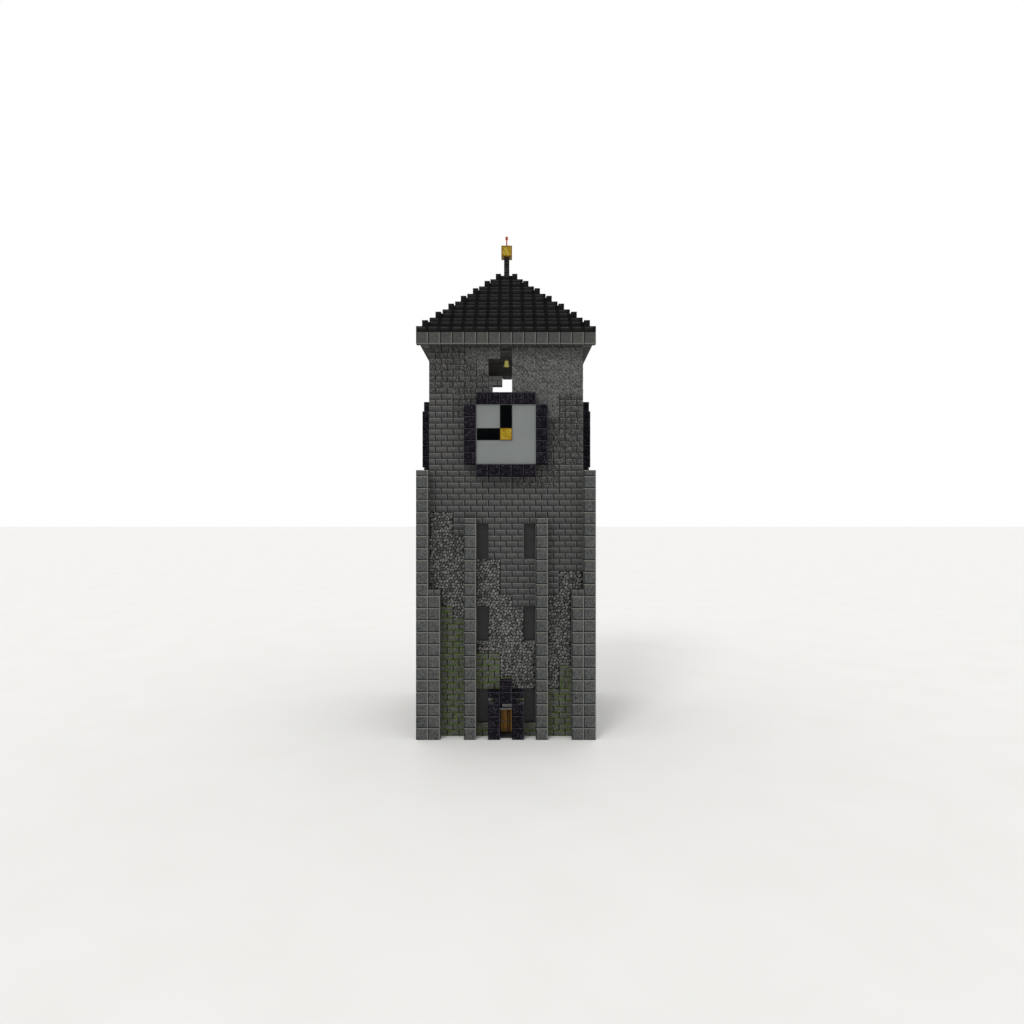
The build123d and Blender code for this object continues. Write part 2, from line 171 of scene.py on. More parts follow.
class Finish(Nodes):
    """A material on the Principled shader, written as expressions on Object coordinates."""

    def __init__(self, name, gloss=0.05):
        self.material = bpy.data.materials.new(name)
        self.material.use_nodes = True
        super().__init__(self.material.node_tree)
        self.shader = self.tree.nodes["Principled BSDF"]
        self.shader.inputs["Specular IOR Level"].default_value = gloss
        self.place = self.node("TexCoord", output="Object")

    def step(self, value, low, high):
        """0 at low, 1 at high, smooth between."""
        settings = {"interpolation_type": "SMOOTHSTEP"}
        return self.node("MapRange", settings, {"Value": value, "From Min": low, "From Max": high})

    def blend(self, mask, under, over):
        """The colour under, covered by the colour over where the mask is 1."""
        under, over = [c if isinstance(c, Number) else seen(c) for c in (under, over)]
        return self.node("Mix", {"data_type": "RGBA"}, {0: mask, 6: under, 7: over}, 2)

    def coats(self, colour, *masks_and_shades):
        """The colour under one coat after another, each a mask and the shade that it brings."""
        for mask, shade in masks_and_shades:
            colour = self.blend(mask, colour, shade)
        return colour

    def noise(self, size, detail=2.0, place=None, output=0, **more):
        """Soft noise whose patches are about size metres across, 0 to 1."""
        inputs = {"Vector": place or self.place, "Scale": 1 / size, "Detail": detail, **more}
        return self.node("TexNoise", None, inputs, output)

    def cell_edge(self, size, place=None):
        """The distance to the edges of cells of about size metres."""
        inputs = {"Vector": place or self.place, "Scale": 1 / size}
        return self.node("TexVoronoi", {"feature": "DISTANCE_TO_EDGE"}, inputs, "Distance")

    def chips(self, size):
        """Angular chips of about size metres: three random numbers for each."""
        inputs = {"Vector": self.place, "Scale": 1 / size, "Randomness": 0.6}
        return self.part(self.node("TexVoronoi", {"distance": "CHEBYCHEV"}, inputs, "Color"))

    def part(self, vector):
        """The three components of a vector."""
        made = self.node("SeparateXYZ", None, {0: vector}).socket.node
        return [Number(self, made.outputs[i]) for i in range(3)]

    def stretched(self, *scale):
        """Object coordinates, scaled along each axis."""
        return self.node("Mapping", None, {"Vector": self.place, "Scale": scale})

    def kept(self, name):
        """A number that the mesh keeps at its points."""
        return self.node("Attribute", {"attribute_name": name}, None, "Fac")

    def nearest(self, *edges):
        """How far a point lies from the nearest of these edges of its face."""
        value = self.kept(edges[0])
        for edge in edges[1:]:
            value = self.maths("MINIMUM", value, self.kept(edge))
        return value

    def paint(self, colour, roughness, bump=None, strength=0.5, reach=0.01, metallic=0.0):
        """Join colour, roughness and relief to the shader. Reach is the relief's height in metres."""
        for name, value in (("Base Color", colour), ("Roughness", roughness), ("Metallic", metallic)):
            self.put(self.shader.inputs[name], value)
        if bump is not None:
            inputs = {"Height": bump, "Strength": strength, "Distance": reach}
            self.put(self.shader.inputs["Normal"], self.node("Bump", None, inputs))
        return self.material


def mottled(name, patches, band, shades, grain, rough, relief, gloss, metallic=0.0, share=1.0):
    """Two shades in soft patches, and a fine grain that roughens and lifts the surface.

    Patches and grain are the (size, detail) of a noise. The second shade comes in over the band of
    the patches' noise and covers no more than share. Rough is the least roughness and what the grain
    adds, relief the strength and the height in metres.
    """
    finish = Finish(name, gloss)
    broad, fine = finish.noise(*patches), finish.noise(*grain)
    colour = finish.blend(share * finish.step(broad, *band), *shades)
    return finish.paint(colour, rough[0] + rough[1] * fine, fine, *relief, metallic)


finished = set()


def finish_nodes(material, *names):
    """Give nodes of the frame a finish in every slot of their material."""
    for name in names:
        finished.add(name)
        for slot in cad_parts[name].material_slots:
            slot.material = material


print("mid grey as light:", round(seen(128)[0], 3))

# %% [markdown]
# ## Light and floor
#
# Stone is judged by its colour, so the light stays plain: an even white surround and one broad, soft
# sun from the upper left, just strong enough to draw the joints. Together they light an upright face
# at a level where its colour renders about as it is written. The floor is pale and matt. Old stone
# hardly shines, and a white surround would veil dark stone with its reflection, so every masonry
# finish keeps its gloss close to nothing.

# %% Light and floor
surround, floor_reach = 0.92, 400.0
world = bpy.data.worlds.new("studio")
bpy.context.scene.world = world
world.use_nodes = True
studio = Nodes(world.node_tree)
camera_ray, through_ray, mirror_ray = [
    studio.node("LightPath", output=f"Is {kind} Ray") for kind in ("Camera", "Transmission", "Glossy")
]
shown = studio.maths("MAXIMUM", studio.maths("MAXIMUM", camera_ray, through_ray), mirror_ray)
strength = studio.node("MapRange", None, {"Value": shown, "To Min": surround, "To Max": 1.0})
background = world.node_tree.nodes["Background"]
background.inputs["Color"].default_value = (1.0, 1.0, 1.0, 1.0)
studio.put(background.inputs["Strength"], strength)

sun = placed("soft_sun", bpy.data.lights.new("soft_sun", "SUN"))
sun.data.energy = 0.75
sun.data.angle = math.radians(18)
sun.rotation_euler = (math.radians(48), 0, math.radians(-28))

# the belfry gets little light through its arches, so a faint panel stands behind its front wall
panel_wide, panel_high, panel_power = 5.0, 1.8, 22.0
fill = placed("belfry_fill", bpy.data.lights.new("belfry_fill", "AREA"))
fill.data.shape = "RECTANGLE"
fill.data.size, fill.data.size_y, fill.data.energy = panel_wide, panel_high, panel_power
fill.location = (0, 0.05 + module - wall_half, belfry_sill + 2 * module)
fill.rotation_euler = (math.radians(90), 0, 0)
fill.visible_camera = fill.visible_glossy = False

pale_floor = Finish("pale_floor", 0.5)
pale_floor.paint(pale_floor.blend(pale_floor.noise(3.0), (232, 231, 228), (238, 237, 235)), 0.9)
floor_mesh = bpy.data.meshes.new("studio_floor")
floor_corners = [(x * floor_reach, y * floor_reach, 0) for x, y in ((-1, -1), (1, -1), (1, 1), (-1, 1))]
floor_mesh.from_pydata(floor_corners, [], [(0, 1, 2, 3)])
floor_mesh.materials.append(pale_floor.material)
placed("studio_floor", floor_mesh)
print("sun", sun.data.energy, "surround", surround, "panel at", tuple(fill.location))

# %% [markdown]
# ## Shells
#
# Every new piece is a shell: points, four-sided and three-sided faces, and a few numbers that the
# finish reads at the points. Shells are worked out flat against one wall, as (along the wall, height,
# out from the wall), and then turned to the wall's place. A turn about the tower's axis keeps the
# faces pointing outwards.

# %% Shells
class Shell:
    """Points (N, 3), quads (Q, 4), tris (T, 3) and named numbers at the points (N,)."""

    def __init__(self, points, quads, tris=(), **numbers):
        self.points = np.asarray(points, float).reshape(-1, 3)
        self.quads = np.asarray(quads, int).reshape(-1, 4)
        self.tris = np.asarray(tris, int).reshape(-1, 3)
        count = len(self.points)
        self.numbers = {name: np.broadcast_to(v, count).astype(float) for name, v in numbers.items()}


def joined(*shells):
    """Several shells as one: later faces count on from the points before them."""
    starts = np.cumsum([0] + [len(s.points) for s in shells[:-1]])
    quads, tris = [np.concatenate([getattr(s, kind) + start for s, start in zip(shells, starts)])
                   for kind in ("quads", "tris")]
    names = sorted({name for s in shells for name in s.numbers})
    numbers = {name: np.concatenate([s.numbers.get(name, np.zeros(len(s.points))) for s in shells])
               for name in names}
    return Shell(np.concatenate([s.points for s in shells]), quads, tris, **numbers)


def on_side(shell, side):
    """Turned to a side: (u, z, d) becomes u along the wall, z up and d out from the wall's face."""
    u, z, d = shell.points.T
    flat = np.outer(u, along[side]) + np.outer(wall_half + d, outward[side])
    return Shell(np.column_stack([flat, z]), shell.quads, shell.tris, **shell.numbers)


def upright(shell):
    """From (x, z, y) to (x, y, z) with the faces turned round, because the swap mirrors them."""
    return Shell(shell.points[:, [0, 2, 1]], shell.quads[:, ::-1], shell.tris[:, ::-1], **shell.numbers)


def domes(rings, crowns, backs, **numbers):
    """Closed domes from rings (N, rings, n, 3), foot first, a crown (N, 3) and a point behind (N, 3)."""
    count, ring_count, n = rings.shape[:3]
    points = np.concatenate([rings.reshape(count, -1, 3), crowns[:, None], backs[:, None]], 1)
    here, after = np.arange(n), (np.arange(n) + 1) % n
    foot = n * np.arange(ring_count - 1)[:, None]
    quads = np.stack([foot + here, foot + after, foot + n + after, foot + n + here], -1).reshape(-1, 4)
    last, tip = n * (ring_count - 1), n * ring_count
    tris = np.concatenate([np.stack([last + here, last + after, np.full(n, tip)], 1),
                           np.stack([after, here, np.full(n, tip + 1)], 1)])
    start = (tip + 2) * np.arange(count)[:, None, None]
    each = {name: np.repeat(values, tip + 2) for name, values in numbers.items()}
    return Shell(points, start + quads, start + tris, **each)


def piece(name, shell, material, stands_for=(), body="tower", smooth=False):
    """Put a shell into the scene, let it ride on its body, and hide the nodes it stands for."""
    mesh = bpy.data.meshes.new(name)
    mesh.from_pydata(shell.points.tolist(), [], shell.quads.tolist() + shell.tris.tolist())
    for key, values in shell.numbers.items():
        mesh.attributes.new(key, "FLOAT", "POINT").data.foreach_set("value", values)
    mesh.polygons.foreach_set("use_smooth", np.full(len(mesh.polygons), smooth))
    mesh.materials.append(material)
    mesh.update()
    made = placed(name, mesh)
    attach(made, body)
    if stands_for:
        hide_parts(*stands_for)
    print(f"{name}: {2 * len(shell.quads) + len(shell.tris)} triangles")


# %% [markdown]
# ## A dressed block
#
# Bricks, ashlars, slabs and posts are all blocks with their edges taken off. A mason strikes the
# arris of each stone, and light catches it, which is what makes a wall read as stones. A bevel
# modifier could do it one stone at a time. Here hundreds of stones are worked out at once: each of
# the 8 corners of a block becomes 3 points, one on every face that meets there, pulled back from the
# corner along that face. That gives 6 faces, 12 struck edges and 8 small corners, 44 triangles.

# %% A dressed block
block_corners = np.array([(i, j, k) for i in (0, 1) for j in (0, 1) for k in (0, 1)], float)
block_inward = (1 - 2 * block_corners)[:, None, :] * (1 - np.eye(3))


def block_faces():
    """The faces of one block: a point's number is 12, 6 and 3 for each far axis, plus its face's axis.

    Faces are turned outwards by a test of each one's normal on a unit block.
    """
    strides, quads = (12, 6, 3), []
    for axis, one, two in ((0, 1, 2), (1, 0, 2), (2, 0, 1)):
        far = strides[axis]
        loop = [a * strides[one] + b * strides[two] for a, b in ((0, 0), (1, 0), (1, 1), (0, 1))]
        quads += [[corner + end + axis for corner in loop] for end in (0, far)]
        quads += [[c + one, c + far + one, c + far + two, c + two] for c in sorted(loop)]
    tris = np.arange(24).reshape(8, 3).tolist()
    spots = (block_corners[:, None, :] + 0.2 * block_inward).reshape(24, 3)
    for face in quads + tris:
        first, second, third = spots[face[:3]]
        if np.dot(np.cross(second - first, third - first), spots[face].mean(0) - 0.5) < 0:
            face.reverse()
    return np.array(quads), np.array(tris)


block_quads, block_tris = block_faces()
overlap = 0.002


def blocks(low, high, chamfer, shift=None, **numbers):
    """Struck blocks from opposite corners low and high, each (N, 3).

    A point is its corner plus the chamfer times the inward direction along both axes of its face.
    Shift, (N, 8, 3), moves the corners of worn or leaning stones. At every point the shell also
    keeps how far it lies from the left, right, bottom and top edges of its face, for the finish.
    """
    low, high = np.atleast_2d(low).astype(float), np.atleast_2d(high).astype(float)
    count = len(low)
    chamfer = np.broadcast_to(np.asarray(chamfer, float), (count,))[:, None, None, None]
    corners = low[:, None, :] + block_corners * (high - low)[:, None, :]
    square = corners[:, :, None, :] + chamfer * block_inward
    gaps = np.stack([square - low[:, None, None, :], high[:, None, None, :] - square])
    far, each = block_corners == 1, {}
    for names, axes, swapped in (
        (("left", "right"), (2, 0, 0), far * (1, 0, 0) | ~far * (0, 0, 1)),
        (("bottom", "top"), (1, 2, 1), far * (0, 1, 0)),
    ):
        near_gap, far_gap = gaps[..., (0, 1, 2), axes]
        each[names[0]] = np.where(swapped, far_gap, near_gap).ravel()
        each[names[1]] = np.where(swapped, near_gap, far_gap).ravel()
    if shift is not None:
        square = square + shift[:, :, None, :]
    start = 24 * np.arange(count)[:, None, None]
    each.update({name: np.repeat(np.broadcast_to(v, (count,)), 24) for name, v in numbers.items()})
    return Shell(square, start + block_quads, start + block_tris, **each)


def world_blocks(low, high, chamfer, **numbers):
    """Struck blocks given in world (x, y, z) corners."""
    swap = [0, 2, 1]
    return upright(blocks(np.atleast_2d(low)[:, swap], np.atleast_2d(high)[:, swap], chamfer, **numbers))


def rows_of(*columns_of_numbers):
    """(N, 3) corners from three numbers or rows of numbers."""
    return np.stack(np.broadcast_arrays(*columns_of_numbers), 1).astype(float)


print(len(block_quads), "quads and", len(block_tris), "corner triangles a block")

# %% [markdown]
# ## What each part of the wall is built of
#
# The walls were mended over the years, so each side is a patchwork: coursed brick, mossy brick near
# the foot, cobbles in patches, cracked brick round the clock, and rough stone under the cornice. A
# mason would mark these patches on a drawing by column and level. The list below does the same: a
# patch is its first and last column, and the levels, in modules, where it starts and ends.

# %% Patches of the wall
storey = 7
patches = {
    "mossy": [(1, 1, 0, 11), (2, 2, 0, 10), (4, 5, 4, 7), (4, 4, 0, 1), (8, 8, 0, 1), (10, 10, 0, 4),
              (11, 11, 0, 6), (5, 7, 0, 4), (6, 6, 4, 5)],
    "cobble": [(0, 0, 12.5, 19), (1, 1, 11, 19), (2, 2, 10, 17), (4, 4, 7, 8), (4, 4, 11, 15),
               (5, 5, 7, 15), (6, 6, 5, 12), (7, 7, 4, 11), (8, 8, 4, 8), (10, 10, 4, 12),
               (11, 11, 6, 14), (12, 12, 12.5, 14)],
    "cracked": [(7, 10, 21, 22), (9, 10, 22, 23), (10, 12, 23, 27), (2, 2, 27, 28), (11, 12, 27, 28),
                (2, 3, 28, 29), (11, 12, 28, 29), (0, 4, 29, 31), (0, 3, 31, 32), (0, 2, 32, 33)],
    "rough": [(10, 10, 27, 28), (9, 10, 28, 29), (8, 12, 29, 31), (4, 4, 31, 32), (8, 12, 31, 32),
              (3, 12, 32, 33)],
}
windows = [(column, column, storey * k + 1, storey * k + 4) for column in (4, 8) for k in range(3)]
arch = [(5, 7, 29, 32), (6, 6, 32, 33)]
covered = [(3, 3, 0, 18.5), (9, 9, 0, 18.5), (0, 0, 0, 12.5), (12, 12, 0, 12.5), (3, 9, 23, 28),
           (4, 8, 22, 29)]
kinds = ("none", "brick", "mossy", "cobble", "cracked", "rough")


def wall_plan(side):
    """What stands in each half-module cell of a side, as numbers of kinds: [course, half column]."""
    plan = np.full((2 * levels + 1, 2 * columns), kinds.index("brick"))

    def fill(first, last, low, high, kind):
        """Give the cells of a patch their kind."""
        plan[round(2 * low):round(2 * high), 2 * first:2 * last + 2] = kinds.index(kind)

    for kind, places in patches.items():
        for place in places:
            fill(*place, kind)
    for place in windows + arch + covered:
        fill(*place, "none")
    if side in ("left", "right"):
        plan[-1] = kinds.index("none")
    if side == "front":
        fill(5, 7, 0, 4, "none")
        fill(6, 6, 4, 4.5, "none")
        fill(7, 7, 29, 32, "rough")
    return plan


plans = {side: wall_plan(side) for side in side_names}
for kind in kinds[1:]:
    print(kind, (plans["front"] == kinds.index(kind)).sum() / 4, "square modules on the front")

# %% [markdown]
# ## Coursed brick
#
# A course is half a module high and a brick one module long, in running bond. A painted pattern on a
# flat wall looks flat at the edges of windows and in low sun, so each brick is a block of its own,
# standing proud of the mortar. Bricks end where a patch, a window or a pier begins, as cut bricks do.
# In the cracked patches a brick is split in two by a leaning crack, and its halves have settled.

# %% Coursed brick
joint = 0.044
bed_line = 0.014
brick_relief, brick_bed = 0.016, 0.012
brick_chamfer, cracked_chamfer = 0.006, 0.009
face_wander, face_tilt = 0.003, 0.002
crack_half, crack_lean, settling = 0.007, 0.05, 0.007


def brick_runs(plan):
    """Bricks as (course, first half cell, length in half cells, kind), found on whole arrays.

    A pair of neighbouring half cells of one kind is one brick. Pairs start on even half cells in the
    upper course of a module and on odd ones in the lower course. What is left over is a half brick.
    """
    found = []
    laid = np.isin(plan, [kinds.index(k) for k in ("brick", "mossy", "cracked")])
    for parity in (0, 1):
        rows = np.arange(1 - parity, len(plan), 2)
        first = np.arange(parity, plan.shape[1] - 1, 2)
        whole = (plan[rows][:, first] == plan[rows][:, first + 1]) & laid[rows][:, first]
        left_over = laid[rows].copy()
        left_over[:, first] &= ~whole
        left_over[:, first + 1] &= ~whole
        for length, cells, starts in ((2, whole, first), (1, left_over, np.arange(plan.shape[1]))):
            row, column = np.nonzero(cells)
            row, column = rows[row], starts[column]
            found.append(np.stack([row, column, np.full(len(row), length), plan[row, column]], 1))
    return np.concatenate(found)


def brick_shell(side, seed):
    """Blocks from joint to joint, and at a bare neighbour to the cell's edge. Split ones are two."""
    random = np.random.default_rng(seed)
    padded = np.pad(plans[side], 1, constant_values=-1)
    course, start, length, kind = brick_runs(plans[side]).T
    count = len(course)
    left = start * module / 2 - wall_half
    right = left + length * module / 2
    bottom = course * module / 2
    left = left + np.where(padded[course + 1, start] <= 0, 0, joint / 2)
    right = right - np.where(padded[course + 1, start + length + 1] <= 0, 0, joint / 2)
    corner = (side in ("front", "back")) & (bottom >= pier_top)
    left = np.where(corner & (left == -wall_half), left - brick_relief, left)
    right = np.where(corner & (right == wall_half), right + brick_relief, right)
    low = rows_of(left, bottom + bed_line / 2, -brick_bed)
    high = rows_of(right, bottom + module / 2 - bed_line / 2, brick_relief)
    high[:, 2] += random.uniform(-face_wander, face_wander, count)
    cracked = kind == kinds.index("cracked")
    split = cracked & (length == 2)
    meet = left + (right - left) * random.uniform(0.3, 0.7, count)
    lean = random.uniform(-crack_lean, crack_lean, count)
    shift = np.zeros((count, 8, 3))
    shift[:, :, 2] += random.uniform(-face_tilt, face_tilt, (count, 8)) * (block_corners[:, 2] == 1)
    upper = 2 * block_corners[:, 1] - 1
    parts = []
    for inner in (None, 1, 0):
        pick = ~split if inner is None else split
        ends, move = [low[pick], high[pick]], shift[pick]
        if inner is not None:
            ends[inner][:, 0] = meet[pick] + (1 - 2 * inner) * crack_half
            move[:, :, 0] = np.where(block_corners[:, 0] == inner, lean[pick][:, None] * upper, 0)
            ends[1][:, 2] -= random.uniform(0, settling, pick.sum())
        chamfer = np.where(cracked[pick], cracked_chamfer, brick_chamfer)
        parts.append(blocks(*ends, chamfer, move, tone=random.uniform(0, 1, pick.sum()),
                            moss=kind[pick] == kinds.index("mossy"), crack=cracked[pick]))
    return on_side(joined(*parts), side)


bricks = {side: brick_shell(side, seed) for seed, side in enumerate(side_names)}
print({side: len(shell.points) // 24 for side, shell in bricks.items()}, "bricks")

# %% [markdown]
# ## Cobbles
#
# The cobbled patches are rubble: rounded stones of a hand's breadth, wedged together with dark gaps.
# Scattered round pebbles would leave wide holes. Stones that fit are the cells of a Voronoi pattern,
# and a cell can be written as a polar curve: in each direction the stone reaches halfway to the
# nearest neighbour. So every stone is a dome over that curve, and the gap between stones is even.

# %% Cobbles
stones_per_module, stone_directions = 4, 10
stone_gap, least_reach = 0.007, 0.01
stone_rise, stone_tilt = 0.026, 0.1
shake_along, shake_up = 0.4, 0.36
stone_lean = np.array([(1.0, -0.42), (-0.42, 1.0)])
dome_rings = ((0.97, -0.25), (0.93, 0.45), (0.72, 0.88), (0.36, 1.0))


def cobble_shell(side, seed):
    """Domes on a shaken lattice. Reach(angle) = min over neighbours of n.G.n / (2 n.G.direction).

    G leans the measure of distance, so that the stones are longer along one diagonal. A dome ring is
    a share of that reach at a share of the stone's rise, tilted a little.
    """
    random = np.random.default_rng(seed)
    pitch = module / stones_per_module
    rows, across = levels * stones_per_module, columns * stones_per_module
    z, u = np.meshgrid(np.arange(-2, rows + 2), np.arange(-2, across + 2), indexing="ij")
    shaken = u + 0.5 * (z % 2) + 0.25 + random.uniform(-shake_along, shake_along, u.shape)
    u = shaken * pitch - wall_half
    z = (z + 0.5 + random.uniform(-shake_up, shake_up, z.shape)) * pitch
    spots = np.stack([u, z], -1)
    home = plans[side] == kinds.index("cobble")
    row, column = np.nonzero(np.kron(home, np.ones((stones_per_module // 2,) * 2, bool)))
    row, column = row + 2, column + 2
    centre = spots[row, column]
    around = [(a, b) for a in range(-2, 3) for b in range(-2, 3) if (a, b) != (0, 0)]
    offset = np.stack([spots[row + a, column + b] for a, b in around], 1) - centre[:, None, :]
    turn = np.arange(stone_directions) * 2 * np.pi / stone_directions
    angle = turn + random.uniform(0, 1, (len(row), 1))
    direction = np.stack([np.cos(angle), np.sin(angle)], -1)
    leaning = offset @ stone_lean
    facing = np.einsum("nkc,ndc->nkd", leaning, direction)
    half_way = (offset * leaning).sum(-1)[..., None] / (2 * np.maximum(facing, 1e-6))
    reach = half_way.min(1) - stone_gap
    fence = np.pad(home, 2)

    def at_home(cell):
        """Whether half cells (column, row) belong to a cobbled patch."""
        across, up = (cell + 2).T
        return fence[np.clip(up, 0, 2 * levels + 3), np.clip(across, 0, 2 * columns + 3)]

    cell = np.floor((centre + (wall_half, 0)) / module * 2).astype(int)
    for axis, way in ((0, -1), (0, 1), (1, -1), (1, 1)):
        bare = ~at_home(cell + way * np.eye(2, dtype=int)[axis])
        line = (cell[:, axis] + (way + 1) / 2) * module / 2 - (wall_half, 0)[axis]
        room = way * (line - centre[:, axis]) - stone_gap
        toward = np.maximum(way * direction[..., axis], 1e-6)
        limit = np.where(bare[:, None], room[:, None] / toward, np.inf)
        reach = np.minimum(reach, np.maximum(limit, least_reach))
    inside = at_home(cell)
    centre, reach, direction = centre[inside], reach[inside], direction[inside]
    count = len(centre)
    rise = stone_rise * random.uniform(0.5, 1.0, count)
    tilt = random.uniform(-stone_tilt, stone_tilt, (count, 2))
    rings = []
    for share, height in dome_rings:
        ring = centre[:, None, :] + direction * (reach * share)[..., None]
        lift = rise[:, None] * height
        if height > 0:
            lift = lift + np.einsum("ndc,nc->nd", ring - centre[:, None, :], tilt)
        rings.append(np.dstack([ring, np.broadcast_to(lift, reach.shape)]))
    crowns, backs = [np.column_stack([centre, share * rise]) for share in (1.01, dome_rings[0][1])]
    shell = domes(np.stack(rings, 1), crowns, backs, tone=random.uniform(0, 1, count))
    shell.numbers["crown"] = shell.points[:, 2] / np.repeat(rise, len(shell.points) // count)
    return on_side(shell, side)


cobbles = {side: cobble_shell(side, seed + 10) for seed, side in enumerate(side_names)}
print({side: len(shell.points) // (4 * stone_directions + 2) for side, shell in cobbles.items()}, "cobbles")

# %% [markdown]
# ## Rough stone
#
# Under the cornice the wall is of rough-faced stones, a module square, with hardly any joint. The
# quarry left their faces rippled. Each stone is a small height field: a grid over the module, whose
# height is a sum of slanting waves and of seeded noise, pinned down to the bed along its rim.

# %% Rough stone
rough_cells = 14
rough_relief, rough_bed = 0.020, -0.012
rough_mean, wave_share, noise_share = 0.62, 0.12, 0.38


def rough_shell(side, seed):
    """Height = relief * (mean + slanting sine waves + smooth noise), and the bed at the rim."""
    random = np.random.default_rng(seed)
    row, column = np.nonzero(plans[side][::2, ::2] == kinds.index("rough"))
    count, n = len(row), rough_cells
    edge = np.concatenate([[0.0, 0.004], np.linspace(0.07, 0.93, n - 4), [0.996, 1.0]])
    s, t = np.meshgrid(edge, edge, indexing="ij")
    u = (column[:, None, None] + s) * module - wall_half
    z = (row[:, None, None] + t) * module
    noise = random.uniform(-1, 1, (count, n, n))
    noise = (noise + np.roll(noise, 1, 1) + np.roll(noise, 1, 2) + np.roll(noise, (1, 1), (1, 2))) / 4
    waves = np.sin(38 * (0.8 * u + 1.7 * z) + 5 * np.sin(9 * u) + 4 * np.sin(13 * z))
    height = rough_relief * (rough_mean + wave_share * waves + noise_share * noise)
    height = np.where((s > 0) & (s < 1) & (t > 0) & (t < 1), height, rough_bed)
    a, b = np.meshgrid(np.arange(n - 1), np.arange(n - 1), indexing="ij")
    corner = (a * n + b).ravel()
    face = np.stack([corner, corner + n, corner + n + 1, corner + 1], 1)
    start = n * n * np.arange(count)[:, None]
    quads = (start[..., None] + face).reshape(-1, 4)
    plate = start + [n - 1, n * n - 1, n * (n - 1), 0]
    tone = np.repeat(random.uniform(0, 1, count), n * n)
    return on_side(Shell(np.stack([u, z, height], -1), np.concatenate([quads, plate]), tone=tone), side)


rough_stones = {side: rough_shell(side, seed + 20) for seed, side in enumerate(side_names)}
print({side: len(shell.points) // rough_cells**2 for side, shell in rough_stones.items()}, "rough stones")

# %% [markdown]
# ## Masonry finishes
#
# All the stone on the tower is one grey family, told apart by its dressing. Each finish starts from
# three tones of that grey, picked chip by chip, about eleven chips to a module, with a little slow
# noise and a number that every stone keeps, so that two neighbours never match. Over that come
# painted bands along the edges of a cut stone, a painted highlight along its top and right edge and
# painted shade along its foot and left edge, as a struck arris would catch and lose the light, and a
# relief that follows the grain.

# %% Masonry finishes
chip = module / 11
bed_grain = (0.02, 3.0)


def stone_base(finish, dark, middle, pale, spread=0.6):
    """The tones and grain that the stone finishes share: returns colour, grain and the chips."""
    grain, broad, chips = finish.noise(*bed_grain), finish.noise(0.35), finish.chips(chip)
    slow = 0.35 * finish.kept("tone") + 0.35 * broad + 0.3 * grain
    tone = spread * chips[0] + (1 - spread) * slow
    colour = finish.blend(finish.step(tone, 0.12, 0.42), dark, middle)
    return finish.blend(finish.step(tone, 0.55, 0.88), colour, pale), grain, chips


def painted_edge_light(finish, colour, pale, dark, wide=0.038):
    """Painted edge light: painted shade within wide of the left edge and foot, a painted highlight at the
    right and top.
    """
    ragged = 0.005 * finish.noise(0.03)
    # painted shade along the left edge and foot, then a painted highlight along the right edge and top
    return finish.coats(colour, *[
        (finish.step(finish.nearest(*edges) + ragged, wide + 0.005, wide - 0.002), shade)
        for edges, shade in ((("left", "bottom"), dark), (("right", "top"), pale))
    ])


def cut_finish(name, tones, edges, spread=0.55):
    """Cut blocks with painted edge light, a painted highlight and painted shade along their edges, and a warm
    chip here and there.
    """
    finish = Finish(name)
    colour, grain, chips = stone_base(finish, *tones, spread)
    colour = finish.blend((chips[1] > 0.94) * 0.6, colour, (102, 99, 84))
    colour = painted_edge_light(finish, colour, *edges)
    return finish.paint(colour, 0.82 + 0.1 * grain, grain * 0.6 + chips[2] * 0.3, 0.4, 0.006)


def dark_finish(name, tones, edges, shine):
    """Dense, dark cut stone: narrow bands of painted edge light, and some of the chips drawn to the middle
    tone.
    """
    finish = Finish(name)
    colour, grain, chips = stone_base(finish, *tones, 0.72)
    colour = painted_edge_light(finish, colour, *edges, 0.030)
    colour = finish.blend((chips[1] > 0.72) * 0.55, colour, tones[1])
    return finish.paint(colour, shine + 0.15 * grain, grain * 0.6 + chips[2] * 0.4, 0.5, 0.008)


def bed_finish(name, dark, pale, gloss):
    """Mortar: two shades mixed by its own grain."""
    finish = Finish(name, gloss)
    grain = finish.noise(*bed_grain)
    return finish.paint(finish.blend(grain, dark, pale), 0.95, grain, 0.4, 0.006)


